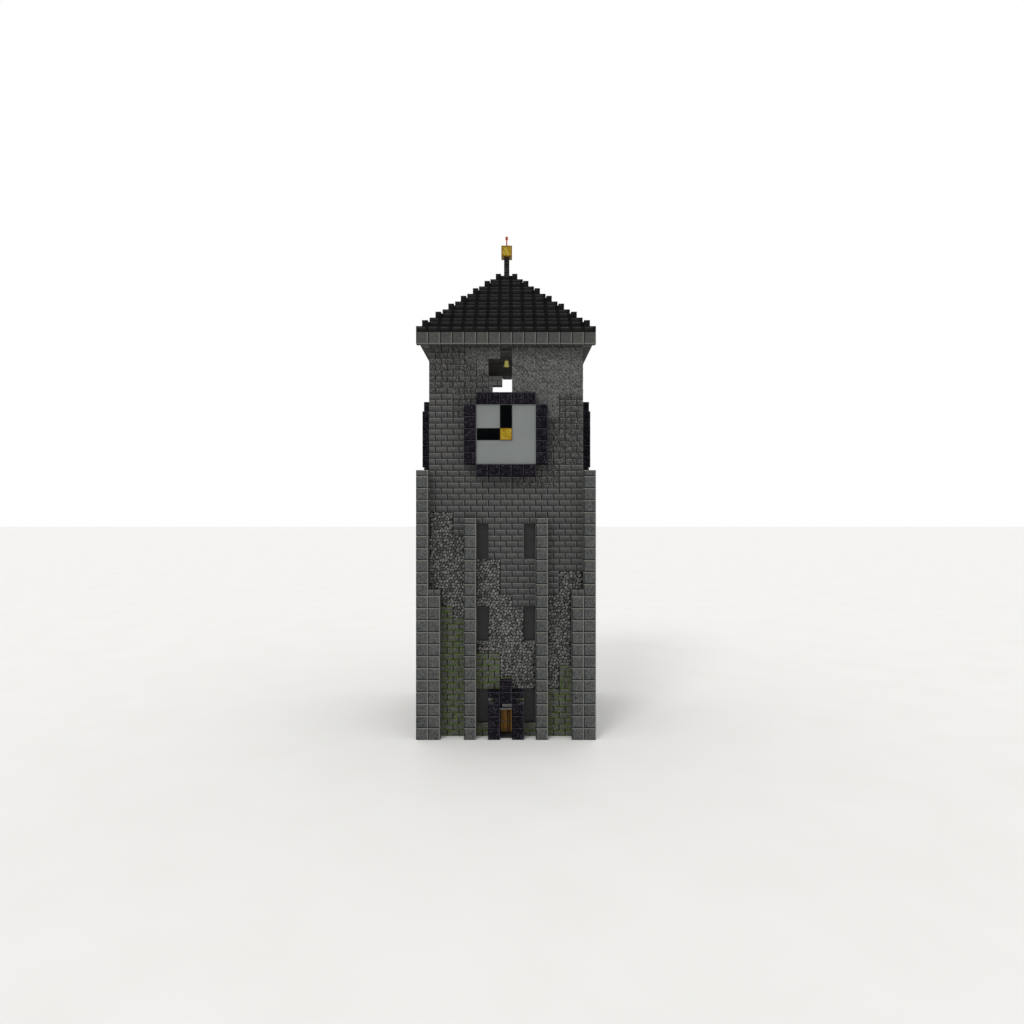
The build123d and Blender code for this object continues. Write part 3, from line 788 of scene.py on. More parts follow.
def brick_finish():
    """Brick with painted edge light: painted shade at its foot and a painted highlight along its right
    edge and top. Cracks where the shell says crack, and moss where it says moss. Mossy bricks are
    painted paler: this stands in for light where the piers shade them.
    """
    finish = Finish("wall_brick")
    colour, grain, chips = stone_base(finish, 62, (77, 76, 76), (90, 89, 88))
    ragged, cracks, mossy = 0.012 * chips[1], finish.kept("crack"), finish.kept("moss")
    wander = finish.node("VectorMath", {"operation": "MULTIPLY_ADD"}, {
        0: finish.noise(1 / 9, output="Color"), 1: (0.12, 0.12, 0.12), 2: finish.place,
    })
    crack_line = finish.step(finish.cell_edge(0.16, wander), 0.10, 0.04)
    crack_line = crack_line * finish.step(finish.noise(0.11), 0.38, 0.50)
    broken = cracks * finish.maths("MAXIMUM", crack_line, 0.7 * (chips[2] > 0.86))
    moss_grain = finish.noise(0.035, 4.0)
    near_edge = finish.step(finish.nearest("bottom", "top"), 0.09, 0.0)
    patch = finish.noise(0.12) + 0.3 * moss_grain + 0.45 * chips[1] + 0.36 * near_edge
    moss = mossy * finish.step(patch, 1.03, 1.06)
    colour = finish.coats(
        colour,
        # painted shade along the foot of each brick, then a painted highlight along its right edge and top
        (finish.step(finish.kept("bottom"), 0.14, 0.03) * 0.85, 56),
        (finish.step(finish.kept("right") + ragged, 0.044, 0.038), (90, 89, 88)),
        (finish.step(finish.kept("top") + ragged, 0.048, 0.041), (102, 101, 100)),
        (cracks * (chips[2] < 0.16) * 0.8, (98, 97, 96)),
        (broken * 0.85, (50, 50, 49)),
        # mossy bricks painted paler: this stands in for light where the piers shade them
        (mossy * 0.45, finish.blend(chips[0], (70, 70, 69), (112, 111, 109))),
        (moss * 0.92, finish.blend(finish.step(chips[2], 0.3, 0.7), (58, 74, 36), (90, 105, 60))),
    )
    relief = grain * 0.5 - broken * 1.6 + moss * (0.8 + moss_grain)
    return finish.paint(colour, 0.88 + 0.08 * grain, relief, 0.6, 0.012)


def cobble_finish():
    """Each stone has its own tone, and painted shade darkens it towards its foot at the gap."""
    finish = Finish("cobble_stone")
    colour, grain, chips = stone_base(finish, 60, (97, 97, 96), (130, 129, 127))
    own = finish.kept("tone")
    colour = finish.coats(
        colour,
        (finish.step(own, 0.55, 0.85) * 0.7, (122, 121, 119)),
        (finish.step(own, 0.3, 0.1) * 0.6, 58),
        # painted shade: each stone is darker towards its foot, where it meets the gap
        (finish.step(finish.kept("crown"), 0.45, 0.0) * 0.75, 44),
    )
    return finish.paint(colour, 0.84 + 0.1 * grain, grain, 0.6, 0.008)


def rough_finish():
    """Rippled stone: the tones follow slanting waves, so the pale ones run together in short bands."""
    finish = Finish("rough_faced_stone")
    colour, grain, chips = stone_base(finish, (48, 48, 49), 80, (110, 110, 107), 0.7)
    wave = finish.node("TexWave", {"bands_direction": "DIAGONAL"}, {
        "Vector": finish.place, "Scale": 3.4, "Distortion": 9.0, "Detail": 3.0, "Detail Scale": 2.6,
    })
    colour = finish.coats(
        colour,
        (finish.step(wave, 0.72, 0.88) * 0.55, (112, 112, 106)),
        (finish.step(wave, 0.25, 0.08) * 0.5, (56, 56, 57)),
    )
    return finish.paint(colour, 0.85 + 0.1 * grain, wave * 0.6 + grain * 0.5, 0.5, 0.010)


def plan_reach(finish, x, y):
    """How far a point lies from the tower's axis, measured square to the walls."""
    return finish.maths("MAXIMUM", finish.maths("ABSOLUTE", x), finish.maths("ABSOLUTE", y))


def backing_finish():
    """The wall behind the stones: dark mortar outside, grey reveals, and brick inside painted pale,
    which stands in for light that the inside lacks.

    The windows' reveals lie in deep shade and are painted paler than the belfry's, which stands in
    for light.
    """
    finish = Finish("wall_backing")
    grain = finish.noise(*bed_grain)
    x, y, z = finish.part(finish.place)
    spread = plan_reach(finish, x, y)
    outer_face = spread > wall_half - 0.001
    inner_face = spread < wall_half - module + 0.001
    # brick inside painted pale: this stands in for light that the inside lacks
    courses = finish.node("TexBrick", None, {
        "Vector": finish.node("CombineXYZ", None, {0: x + y, 1: z}), "Color1": seen((196, 199, 202)),
        "Color2": seen((214, 217, 220)), "Mortar": seen((132, 134, 136)), "Scale": 1.0,
        "Mortar Size": module / 32, "Mortar Smooth": 0.2, "Brick Width": module, "Row Height": module / 2,
    })
    joints = Number(finish, courses.socket.node.outputs["Fac"])
    # window reveals below the belfry painted pale: this stands in for light in their deep shade
    shade_lifted_reveal = finish.blend(grain, (120, 120, 118), (140, 140, 137))
    reveal = finish.blend(z < belfry_sill, finish.blend(grain, (62, 62, 61), (84, 84, 83)), shade_lifted_reveal)
    colour = finish.coats(
        reveal,
        (inner_face, finish.blend(grain * 0.15, courses, (156, 158, 160))),
        (outer_face, finish.blend(finish.step(grain, 0.35, 0.7), 30, 42)),
    )
    return finish.paint(colour, 0.92, grain * 0.5 - joints * inner_face, 0.5, 0.012)


wall_brick, cobble_stone, rough_faced = brick_finish(), cobble_finish(), rough_finish()
cut_tones = ((54, 56, 56), (75, 77, 77), (91, 92, 91))
# the last pair of shades are the painted highlight and painted shade along each block's edges
cut_stone = cut_finish("cut_stone", cut_tones, ((120, 118, 112), (32, 33, 33)), 0.66)
wall_backing = backing_finish()
print("masonry finishes:", [m.name for m in (wall_brick, cobble_stone, rough_faced, cut_stone, wall_backing)])

# %% [markdown]
# ## Lay the walls
#
# One piece a side for each kind of masonry keeps the wall easy to repair and the meshes small. The
# walls of the frame stay where they are behind the stones, as the mortar and as the inner face.

# %% Lay the walls
for side in side_names:
    piece(f"brick_courses_{side}", bricks[side], wall_brick)
    piece(f"cobble_patches_{side}", cobbles[side], cobble_stone, smooth=True)
    piece(f"rough_stones_{side}", rough_stones[side], rough_faced, smooth=True)
walls = sorted(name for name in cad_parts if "wall" in name)
finish_nodes(wall_backing, "arch_infill", *walls)
print("backing on", walls)

# %% [markdown]
# ## Piers, buttresses and pilasters
#
# These stand against the walls in ashlar, one cut block a module high, and end in a half block. A
# plain post would lose its joints from the side, so each one is a stack of struck blocks round a
# slightly smaller core of mortar. The half blocks on the buttresses are brick, laid as two headers.

# %% Piers, buttresses and pilasters
core_inset, core_chamfer = 0.007, 0.002
bed_joint = 0.012
pilaster_line = 3 * module
buttress_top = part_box("buttresses")[1].z
pilaster_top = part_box("pilasters")[1].z


def stack(left, right, top, seed):
    """Blocks of one module from the tower's foot up to top, as deep as a pier."""
    random = np.random.default_rng(seed)
    base = np.arange(0, top - 1e-6, module)
    low = rows_of(left, base + bed_joint / 2, 0)
    high = rows_of(right, np.minimum(base + module, top) - bed_joint / 2, pier_reach)
    low[0, 1], high[-1, 1] = 0, top
    return blocks(low, high, chamfer=0.011, tone=random.uniform(0, 1, len(base)))


def core(low, high, flush=1, **numbers):
    """The mortar inside stones, held in from every face but the low one on the flush axis.

    Axis 1 is height, so a stack stands on its mortar. Axis 2 is depth, so a run's meets the wall.
    """
    inset = core_inset * (np.arange(3) != flush)
    return blocks(np.array(low) + inset, np.array(high) - core_inset, core_chamfer, **numbers)


stacks = {"corner_pier": [], "buttress": [], "pilaster": []}
cores, caps = {kind: [] for kind in stacks}, []
for number, side in enumerate(side_names):
    posts = [("corner_pier", wall_half, wall_half + pier_reach, pier_top, pier_top, 160 + number)]
    for way in (-1, 1):
        seed, a, b = 100 + 10 * number + way, pilaster_line - module / 2, pilaster_line + module / 2
        posts.append(("pilaster", way * a, way * b, pilaster_top, pilaster_top, seed))
        full = buttress_top - module / 2
        posts.append(("buttress", way * wall_half, way * (wall_half - module), buttress_top, full, seed + 3))
    for kind, a, b, top, full, seed in posts:
        a, b = sorted((a, b))
        stacks[kind].append(on_side(stack(a, b, full, seed), side))
        cores[kind].append(on_side(core((a, 0, 0), (b, top, pier_reach), tone=0.2), side))
        if full < top:
            header = a + np.array([0, module / 2])
            low = rows_of(header + (0, joint / 2), full + joint / 2, 0)
            high = rows_of(header + module / 2 - (joint / 2, 0), top, pier_reach)
            caps.append(on_side(blocks(low, high, chamfer=0.008, tone=(0.35, 0.6)), side))

mortar = bed_finish("mortar", 42, (56, 55, 54), 0.05)
for kind, node in (("corner_pier", "corner_piers"), ("buttress", "buttresses"), ("pilaster", "pilasters")):
    piece(f"{kind}_blocks", joined(*stacks[kind]), cut_stone, [node])
piece("buttress_caps", joined(*caps), wall_brick)
piece("pier_mortar", joined(*sum(cores.values(), [])), mortar)

# %% [markdown]
# ## Cornice
#
# The cornice is a ring of cut blocks with a stepped soffit: on the front and back the deeper half is
# the outer one, on the two sides the inner one. Each block is laid as two stones, one under the
# other's overhang, so the step reads from below.

# %% Cornice
cornice_low, cornice_high = [corner.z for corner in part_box("cornice_front")]
cornice_step = (cornice_low + cornice_high) / 2
half_reach = pier_reach / 2


def cornice_run(half_length, deep_outside, seed):
    """A run of module blocks, each an outer and an inner stone, the shallow one down to the step."""
    random = np.random.default_rng(seed)
    left = -half_length + module * np.arange(round(2 * half_length / module))
    rows = []
    for near, far, outside in ((half_reach, pier_reach, True), (0, half_reach, False)):
        foot = cornice_low if outside == deep_outside else cornice_step
        low = rows_of(left + bed_joint / 2, foot, near)
        high = rows_of(left + module - bed_joint / 2, cornice_high, far)
        low[0, 0], high[-1, 0] = -half_length, half_length
        rows.append(blocks(low, high, chamfer=0.009, tone=random.uniform(0, 1, len(left))))
    bed_low, bed_high = (-half_length, cornice_step, 0), (half_length, cornice_high, pier_reach)
    return joined(*rows), core(bed_low, bed_high, flush=2, tone=0.2)


def cornice_finish():
    """Cut stone again, with painted edge light: painted shade along the left edge, and a painted
    highlight along the right edge and the foot, where the soffit's edge is struck.
    """
    finish = Finish("cornice_stone")
    colour, grain, chips = stone_base(finish, (60, 60, 59), (72, 73, 71), (84, 84, 80), 0.55)
    colour = finish.coats(
        colour,
        # painted shade along the left edge, a painted highlight along the right edge and foot
        (finish.step(finish.kept("left"), 0.042, 0.036), (36, 37, 36)),
        (finish.step(finish.nearest("right", "bottom"), 0.042, 0.036), (110, 108, 103)),
    )
    return finish.paint(colour, 0.82 + 0.1 * grain, grain * 0.6 + chips[2] * 0.3, 0.4, 0.006)


cornice_stone, beds = cornice_finish(), []
for number, side in enumerate(side_names):
    long_run = side in ("front", "back")
    run, bed = cornice_run(wall_half + pier_reach * long_run, long_run, 200 + number)
    piece(f"cornice_blocks_{side}", on_side(run, side), cornice_stone, [f"cornice_{side}"])
    beds.append(on_side(bed, side))
piece("cornice_mortar", joined(*beds), mortar)

# %% [markdown]
# ## Clock frames
#
# The darkest stone on the tower is nearly black, with a violet cast on the frames and the portal and
# none on the roof. Its blocks are set tight. A frame is two rails and two uprights of five blocks
# each. The finish is the one of cut stone in darker tones, and a little smoother, because such dense
# stone takes a polish.

# %% Clock frames
violet_tones = (1, (17, 15, 20), (52, 49, 60))
# the last pair of shades are the painted highlight and painted shade along each block's edges
dark_stone = dark_finish("dark_stone", violet_tones, ((58, 56, 64), (3, 2, 2)), 0.6)
dark_bed = bed_finish("dark_bed", (10, 9, 10), (20, 18, 20), 0.02)
dial_low, dial_high = [corner.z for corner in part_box("clock_dials")]
dial_half, dial_height = (dial_high - dial_low) / 2, (dial_high + dial_low) / 2
tight = 0.005


def frame_stones(seed):
    """The blocks of the rails and uprights round a square opening, and the mortar behind them."""
    random = np.random.default_rng(seed)
    start = -dial_half + module * np.arange(5)
    stones, mortars = [], []
    for way in (-1, 1):
        near, far = sorted((way * dial_half, way * (dial_half + module)))
        rail_low = rows_of(start + tight, dial_height + near, 0)
        rail_high = rows_of(start + module - tight, dial_height + far, pier_reach)
        rail_low[0, 0], rail_high[-1, 0] = -dial_half + 2 * tight, dial_half - 2 * tight
        post_low = rows_of(near, dial_height + start + tight, 0)
        post_high = rows_of(far, dial_height + start + module - tight, pier_reach)
        post_low[0, 1], post_high[-1, 1] = dial_low, dial_high
        for low, high in ((rail_low, rail_high), (post_low, post_high)):
            stones.append(blocks(low, high, chamfer=0.010, tone=random.uniform(0, 1, 5)))
            mortars.append(core(low.min(0), high.max(0), flush=2))
    return joined(*stones), joined(*mortars)


frames, frame_beds = zip(*[
    [on_side(shell, side) for shell in frame_stones(300 + number)] for number, side in enumerate(side_names)
])
piece("clock_frame_stones", joined(*frames), dark_stone, ["clock_frames"])
piece("clock_frame_mortar", joined(*frame_beds), dark_bed)

# %% [markdown]
# ## Portal
#
# Two jambs of three blocks carry a head of one keystone block and two stepped blocks, with a pale,
# mossy stone and a bed of dark stone in each notch. A crest stands on the keystone, its upper half on
# the front edge only. Over the door leaf a transom closes the opening: a bar, a dark groove and a grey
# slab beside a post. What lies deep in shade gets a paler finish, or it would be lost in the dark.

# %% Portal
jamb_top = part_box("portal_jambs")[1].z
crest_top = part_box("portal_head")[1].z
half_door = notch = module / 2
outer = half_door + module
head_top, notch_top = jamb_top + module, jamb_top + notch
gap = 0.004
stones = []
for way in (-1, 1):
    column = [(half_door, outer, k * module + (gap if k else 0), (k + 1) * module - gap)
              for k in range(round(jamb_top / module))]
    column += [(half_door + gap, outer - notch, jamb_top + gap, notch_top),
               (half_door + gap, outer, notch_top, head_top)]
    stones += [(*sorted((way * a, way * b)), foot, head, 0) for a, b, foot, head in column]
crest_base = head_top + notch
stones += [(-half_door, half_door, jamb_top, head_top, 0),
           (-half_door, half_door, head_top + gap, crest_base, 0),
           (-half_door, half_door, crest_base, crest_top, half_reach)]
left, right, foot, head, near = np.array(stones).T
portal_tone = np.random.default_rng(7).uniform(0, 1, len(stones))
low, high = rows_of(left, foot, near), rows_of(right, head, pier_reach)
portal = blocks(low, high, chamfer=0.008, tone=portal_tone)
jamb = np.array([-1, 1]) * (half_door + outer) / 2
jamb_half = module / 2 - core_inset
portal_core = blocks(rows_of(jamb - jamb_half, 0, 0),
                     rows_of(jamb + jamb_half, jamb_top + 0.01, pier_reach - core_inset), core_chamfer)
piece("portal_stones", on_side(portal, "front"), dark_stone, ["portal_jambs", "portal_head"])
piece("portal_mortar", on_side(portal_core, "front"), dark_bed)


def transom_finish():
    """Grey stone painted pale, which stands in for light in its deep shade, and painted shade at its foot."""
    finish = Finish("transom_stone")
    # stone painted pale: this stands in for light in the transom's deep shade
    colour, grain, chips = stone_base(finish, 196, 214, 234, 0.4)
    # painted shade along the foot of each slab
    foot = finish.step(finish.kept("bottom"), 0.10, 0.02) * finish.step(finish.kept("top"), 0.06, 0.2)
    return finish.paint(finish.blend(foot * 0.7, colour, 140), 0.85, grain, 0.4, 0.006)


def notch_finish():
    """Stone painted pale, which stands in for light in the notch's shade, with moss on some of its chips."""
    finish = Finish("notch_stone")
    # stone painted pale: this stands in for light in the notch's shade
    colour, grain, chips = stone_base(finish, (104, 104, 102), (122, 122, 120), (140, 140, 138))
    green = finish.blend(chips[2], (84, 108, 48), (112, 138, 70))
    colour = finish.blend(finish.step(chips[1] + finish.kept("tone"), 0.9, 1.0), colour, green)
    return finish.paint(colour, 0.85, grain, 0.4, 0.006)


notch_left = (-outer, -outer + notch / 2, outer - notch)
notch_right = (-outer + notch / 2, -outer + notch, outer)
notch_back, notch_face = -0.01, 0.016
notch_stones = blocks(rows_of(notch_left, jamb_top, notch_back), rows_of(notch_right, notch_top, notch_face),
                      chamfer=0.004, tone=(0.1, 0.6, 0.5))
# the beds are paler than the dark stone: they stand in for light on the jamb tops in the notches' shade
bed_foot, bed_head, bed_back, bed_face = jamb_top + 0.004, jamb_top + 0.014, 0.02, 0.485
notch_beds = blocks(rows_of(notch_left[::2], bed_foot, bed_back),
                    rows_of(notch_right[1:], bed_head, bed_face), chamfer=0.001, tone=(0.4, 0.7))
bed_tones = ((40, 38, 44), (78, 76, 84), (124, 120, 132))
# the last pair of shades are the painted highlight and painted shade along each bed's edges
notch_floor = dark_finish("notch_floor_stone", bed_tones, ((112, 110, 118), (36, 34, 38)), 0.6)
piece("notch_stones", on_side(notch_stones, "front"), notch_finish())
piece("notch_beds", on_side(notch_beds, "front"), notch_floor)

(_, transom_front, rest), (_, transom_back, transom_top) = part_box("door_transom")
face, back = -transom_front - wall_half, -transom_back - wall_half
bar, groove, groove_depth, post_wide, post_depth = 0.065, 0.045, 0.02, 0.080, 0.004
bar_top, slab_foot, post = rest + bar, rest + bar + groove, post_wide - half_door
slabs = blocks([(-half_door, rest, back), (post, slab_foot, back)],
               [(half_door, bar_top, face), (half_door, transom_top, face)], chamfer=0.004, tone=(0.9, 0.5))
shadow_gap = blocks([(-half_door, bar_top, back), (-half_door, slab_foot, back)],
                    [(half_door, slab_foot, face - groove_depth), (post, transom_top, face - post_depth)],
                    chamfer=0.002)
piece("transom_slabs", on_side(slabs, "front"), transom_finish(), ["door_transom"])
piece("transom_gap", on_side(shadow_gap, "front"), dark_stone)

# %% [markdown]
# ## Roof
#
# The roof is a stair of slate-dark stones. Each course is two half courses, the upper one set back by
# half a module, and one stone covers a module along the eaves. Rings of blocks follow the same plan
# as the frame: module lines are clipped to the half width of the ring, and on the upper rings the
# corner stones run out to the edge below, which gives the roof its small ears.

# %% Roof
def roof_plan(eaves, half, upper):
    """The stones of a half course as rows of (left, right, front, back), with tight joints inside."""
    count = round(2 * eaves / module)
    inner = -eaves + module
    cut = np.clip(-eaves + module * np.arange(count + 1), -half, half)
    spans, plan = list(zip(cut[:-1], cut[1:])), []
    for index, (a, b) in enumerate(spans):
        out = half if upper and 0 < index < count - 1 else eaves
        reach_in = inner if count > 1 else 0
        plan += [(a, b, -out, reach_in), (a, b, -reach_in, out)]
    for a, b in spans[1:-1]:
        plan += [(-half, inner, a, b), (-inner, half, a, b)]
    if count == 3:
        plan.append((inner, -inner, inner, -inner))
    plan = np.array(plan) + np.array((1, -1, 1, -1)) * tight
    on_edge = [np.abs(np.abs(plan) - (edge - tight)) < 1e-6 for edge in (half, eaves)]
    return np.where(on_edge[0] | on_edge[1], np.sign(plan) * (np.abs(plan) + tight), plan)


def roof_finish():
    """Nearly black stone. A paler bar of painted highlight lies along the head of each riser, between
    two dark ends.

    In the lower half courses the stone above hides 35 mm of the head, so the bar starts below that.
    """
    finish = Finish("roof_riser")
    colour, grain, chips = stone_base(finish, 12, 18, 29)
    down = finish.kept("top") - 0.035 * finish.kept("lower")
    ends = finish.step(finish.kept("left"), 0.10, 0.15) * finish.step(finish.kept("right"), 0.02, 0.06)
    bar = finish.step(down, -0.004, 0.004) * ends
    colour = finish.coats(
        colour,
        # painted highlight: a paler bar and a brighter lip along the head of each riser
        (bar * finish.step(down, 0.17, 0.10) * 0.85, finish.blend(chips[2], 24, 40)),
        (bar * finish.step(down, 0.048, 0.038), finish.blend(chips[1], 44, 60)),
    )
    return finish.paint(colour, 0.8 + 0.1 * grain, grain, 0.4, 0.006)


def deck_finish():
    """Rough stone where the deck crosses the walls, and inside them pale boards between dark joists."""
    finish = Finish("deck_soffit")
    colour, grain, chips = stone_base(finish, 60, (84, 84, 83), (104, 104, 101))
    x, y, z = finish.part(finish.place)
    joists = finish.maths("FRACT", y * (2 / module)) < 0.35
    ceiling = finish.blend(joists, (36, 37, 38), finish.blend(chips[1], (96, 98, 100), (122, 124, 126)))
    colour = finish.blend(plan_reach(finish, x, y) < wall_half - module - 0.001, colour, ceiling)
    return finish.paint(colour, 0.85, grain, 0.4, 0.006)


roof_riser, roof_beds = roof_finish(), []
# the second pair of shades are the painted highlight and painted shade along each block's edges
roof_dark = dark_finish("roof_stone", (14, (26, 27, 27), (42, 43, 43)), ((40, 41, 41), 12), 0.75)
for course, name in enumerate(sorted(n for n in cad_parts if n.startswith("roof_course_"))):
    random = np.random.default_rng(400 + course)
    low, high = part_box(name)
    shells = []
    for upper in (0, 1):
        half, foot = high.x - upper * module / 2, low.z + upper * module / 2
        left, right, front, behind = roof_plan(high.x, half, upper).T
        head, tone = foot + module / 2, random.uniform(0, 1, len(left))
        shells.append(upright(blocks(rows_of(left, foot, front), rows_of(right, head, behind),
                                     chamfer=0.008, tone=tone, lower=1 - upper)))
        roof_beds.append(upright(core((-half, foot, -half), (half, head, half), tone=0.1)))
    piece(f"roof_stones_{course + 1}", joined(*shells), roof_riser, [name])
piece("roof_mortar", joined(*roof_beds), roof_dark)
finish_nodes(deck_finish(), "roof_deck")
finish_nodes(roof_dark, "ground_floor")
threshold_tones = ((22, 22, 23), (34, 34, 35), 50)
# the last pair of shades are the painted highlight and painted shade along the threshold's edges
finish_nodes(cut_finish("threshold_stone", threshold_tones, ((56, 56, 54), 14)), "door_threshold")

# %% [markdown]
# ## Dials, hands and hubs
#
# The dial is smooth pale stone without figures. The hands are sheet metal painted black, and the hub
# on the minute hand is gilded. Each hand is a bevelled plate as broad as a module. The hub is one
# block for the plate and one, narrower, for the panel on it, so the metal has a rim to catch the
# light.

# %% Dials, hands and hubs
dial_face = Finish("dial_stone")
veins, dust = dial_face.noise(0.9, 3.0), dial_face.noise(0.03)
dial_colour = dial_face.blend(dial_face.step(veins, 0.3, 0.7), (117, 121, 120), (122, 126, 125))
dial_colour = dial_face.blend(dust * 0.25, dial_colour, (115, 118, 117))
finish_nodes(dial_face.paint(dial_colour, 0.55 + 0.1 * dust, dust, 0.15, 0.002), "clock_dials")
hand_black = mottled("black_paint", patches=(0.4, 3.0), band=(0.4, 0.8), shades=((1, 2, 3), (4, 5, 6)),
                     grain=(0.012, 2.0), rough=(0.55, 0.15), relief=(0.1, 0.001), gloss=0.02)


def gilding(name, deep, middle, bright, rim_tone, metal=0.35, polish=0.42):
    """Gold leaf: broad slanting streaks of painted sheen, a darker rim, and the faint lap lines of the
    leaf.
    """
    finish = Finish(name, 0.2)
    x, y, z = finish.part(finish.place)
    climb = finish.node("CombineXYZ", None, {0: (x + y + z) * 5.0, 1: (x + y - z) * 1.3, 2: (x - y) * 1.3})
    # slanting streaks of painted sheen: the colour runs paler along them
    sheen_streak = finish.noise(1 / 1.6, 3.0, climb)
    rim = finish.step(finish.nearest("left", "right", "bottom", "top"), 0.036, 0.026)
    colour = finish.coats(
        finish.blend(finish.step(sheen_streak, 0.3, 0.5), deep, middle),
        (finish.step(sheen_streak, 0.52, 0.7), bright),
        (rim * finish.kept("framed"), rim_tone),
    )
    lap = finish.step(finish.cell_edge(0.08), 0.03, 0.0)
    return finish.paint(colour, polish + 0.2 * sheen_streak, sheen_streak * 0.4 - lap * 0.3, 0.25, 0.003, metal)


def plate(side, u, z, d, chamfer, **numbers):
    """A struck plate on a side, from the least and greatest u, z and d."""
    return on_side(blocks(*zip(u, z, d), chamfer, **numbers), side)


gold_leaf = gilding("gold_leaf", (132, 98, 8), (148, 122, 20), (176, 160, 66), (112, 74, 10))
hand_half, rim_width, hand_chamfer = module / 2, 0.022, 0.003
hub_rise = (dial_height - hand_half, dial_height + hand_half)
panel_half = hand_half - rim_width
for side in side_names:
    hour_box, minute_box = np.array(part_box(f"hour_hand_{side}")), np.array(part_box(f"minute_hand_{side}"))
    hour_out, minute_out = [sorted(abs(box[:, :2] @ np.array(outward[side])) - wall_half)
                            for box in (hour_box, minute_box)]
    length = np.ptp(hour_box[:, :2] @ np.array(along[side])) - hand_half
    hour = plate(side, (-length, hand_half), hub_rise, hour_out, hand_chamfer)
    piece(f"hour_plate_{side}", hour, hand_black, [f"hour_hand_{side}"], f"hour_{side}")
    plate_top = minute_out[0] + (hour_out[1] - hour_out[0])
    rise = (hub_rise[0], minute_box[1, 2])
    minute = plate(side, (-hand_half, hand_half), rise, (minute_out[0], plate_top), hand_chamfer)
    piece(f"minute_plate_{side}", minute, hand_black, [f"minute_hand_{side}"], f"minute_{side}")
    middle = (plate_top + minute_out[1]) / 2
    rim = plate(side, (-hand_half, hand_half), hub_rise, (plate_top, middle), hand_chamfer, framed=1)
    panel_rise = (dial_height - panel_half, dial_height + panel_half)
    panel_out = (middle - overlap, minute_out[1])
    panel = plate(side, (-panel_half, panel_half), panel_rise, panel_out, 2 * hand_chamfer, framed=0)
    piece(f"gilded_hub_{side}", joined(rim, panel), gold_leaf, body=f"minute_{side}")

# %% [markdown]
# ## Finial
#
# A square stone post carries a gilded cube, and a copper rod stands on the cube. The cube has a raised
# frame of bars round each face.

# %% Finial
mast_low, mast_high = np.array(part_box("mast"))
mast_block = (mast_high[2] - mast_low[2]) / 4
post_low = [(*mast_low[:2], mast_low[2] + mast_block * k) for k in range(4)]
post_high = [(*mast_high[:2], mast_low[2] + mast_block * (k + 1)) for k in range(4)]
# the second pair of shades are the painted highlight and painted shade along each block's edges
mast_stone = dark_finish("mast_stone", (14, 33, (64, 64, 62)), ((62, 62, 60), 8), 0.7)
mast = world_blocks(post_low, post_high, chamfer=0.012, tone=(0.2, 0.8, 0.4, 0.6))
piece("mast_blocks", mast, mast_stone, ["mast"])

cube_low, cube_high = np.array(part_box("gilded_block"))
bar_width, sunk = 0.035, 0.010
cube = world_blocks(cube_low + sunk, cube_high - sunk, chamfer=0.004, framed=1)
bars_low, bars_high = np.tile(cube_low, (12, 1)), np.tile(cube_high, (12, 1))
places = [(one, a, two, b) for one, two in ((1, 2), (0, 2), (0, 1)) for a in (0, 1) for b in (0, 1)]
for bar, (one, a, two, b) in enumerate(places):
    for axis, far in ((one, a), (two, b)):
        if far:
            bars_low[bar, axis] = cube_high[axis] - bar_width
        else:
            bars_high[bar, axis] = cube_low[axis] + bar_width
cube_frame = world_blocks(bars_low, bars_high, chamfer=0.004, framed=1)
piece("gilded_cube", joined(cube, cube_frame), gold_leaf, ["gilded_block"])

copper = mottled("copper", patches=(0.05, 3.0), band=(0.35, 0.65), shades=((186, 96, 72), (150, 72, 54)),
                 grain=(0.05, 3.0), rough=(0.4, 0.25), relief=(0.2, 0.002), gloss=0.5, metallic=0.6)
rod_low, rod_high = np.array(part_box("lightning_rod"))
rod_half = module / 16
head_foot = rod_high[2] - (rod_high[0] - rod_low[0])
rod = world_blocks([(-rod_half, -rod_half, rod_low[2]), (*rod_low[:2], head_foot)],
                   [(rod_half, rod_half, head_foot), rod_high], chamfer=(0.008, 0.016))
piece("copper_rod", rod, copper, ["lightning_rod"])

# %% [markdown]
# ## Bell
#
# A bell is turned: one profile swept once round its axis, out over the lip and back up inside. The
# profile is a smooth curve through the frame's own waist and rim, so the turned bell stays inside the
# solid that it stands for.

# %% Bell
bell_low, bell_high = np.array(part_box("bell"))
bell_radius = (bell_high[0] - bell_low[0]) / 2
bell_axis = (bell_low + bell_high)[:2] / 2
mouth, shell_top = bell_low[2], bell_high[2] - 0.034


def turned(profile, axis, steps=64, **numbers):
    """Point(t, a) = (r(t) cos a, r(t) sin a, z(t)): the closed profile carried round the axis."""
    angle = np.arange(steps) * 2 * np.pi / steps
    radius, height = profile.T
    x = axis[0] + radius[:, None] * np.cos(angle)
    y = axis[1] + radius[:, None] * np.sin(angle)
    i, j = np.meshgrid(np.arange(len(radius)), np.arange(steps), indexing="ij")
    after, beside = (i + 1) % len(radius), (j + 1) % steps
    quads = np.stack([i * steps + j, i * steps + beside, after * steps + beside, after * steps + j], -1)
    return Shell(np.stack([x, y, np.broadcast_to(height[:, None], x.shape)], -1), quads, **numbers)


def eased(points, steps):
    """A smooth line through the points: cosine-eased radius against evenly spaced heights."""
    radius, height = np.array(points).T
    way = np.linspace(0, len(points) - 1, steps)
    k = np.minimum(way.astype(int), len(points) - 2)
    ease = (1 - np.cos(np.pi * (way - k))) / 2
    eased_radius = radius[k] + (radius[k + 1] - radius[k]) * ease
    return np.stack([eased_radius, np.interp(way, np.arange(len(points)), height)], 1)


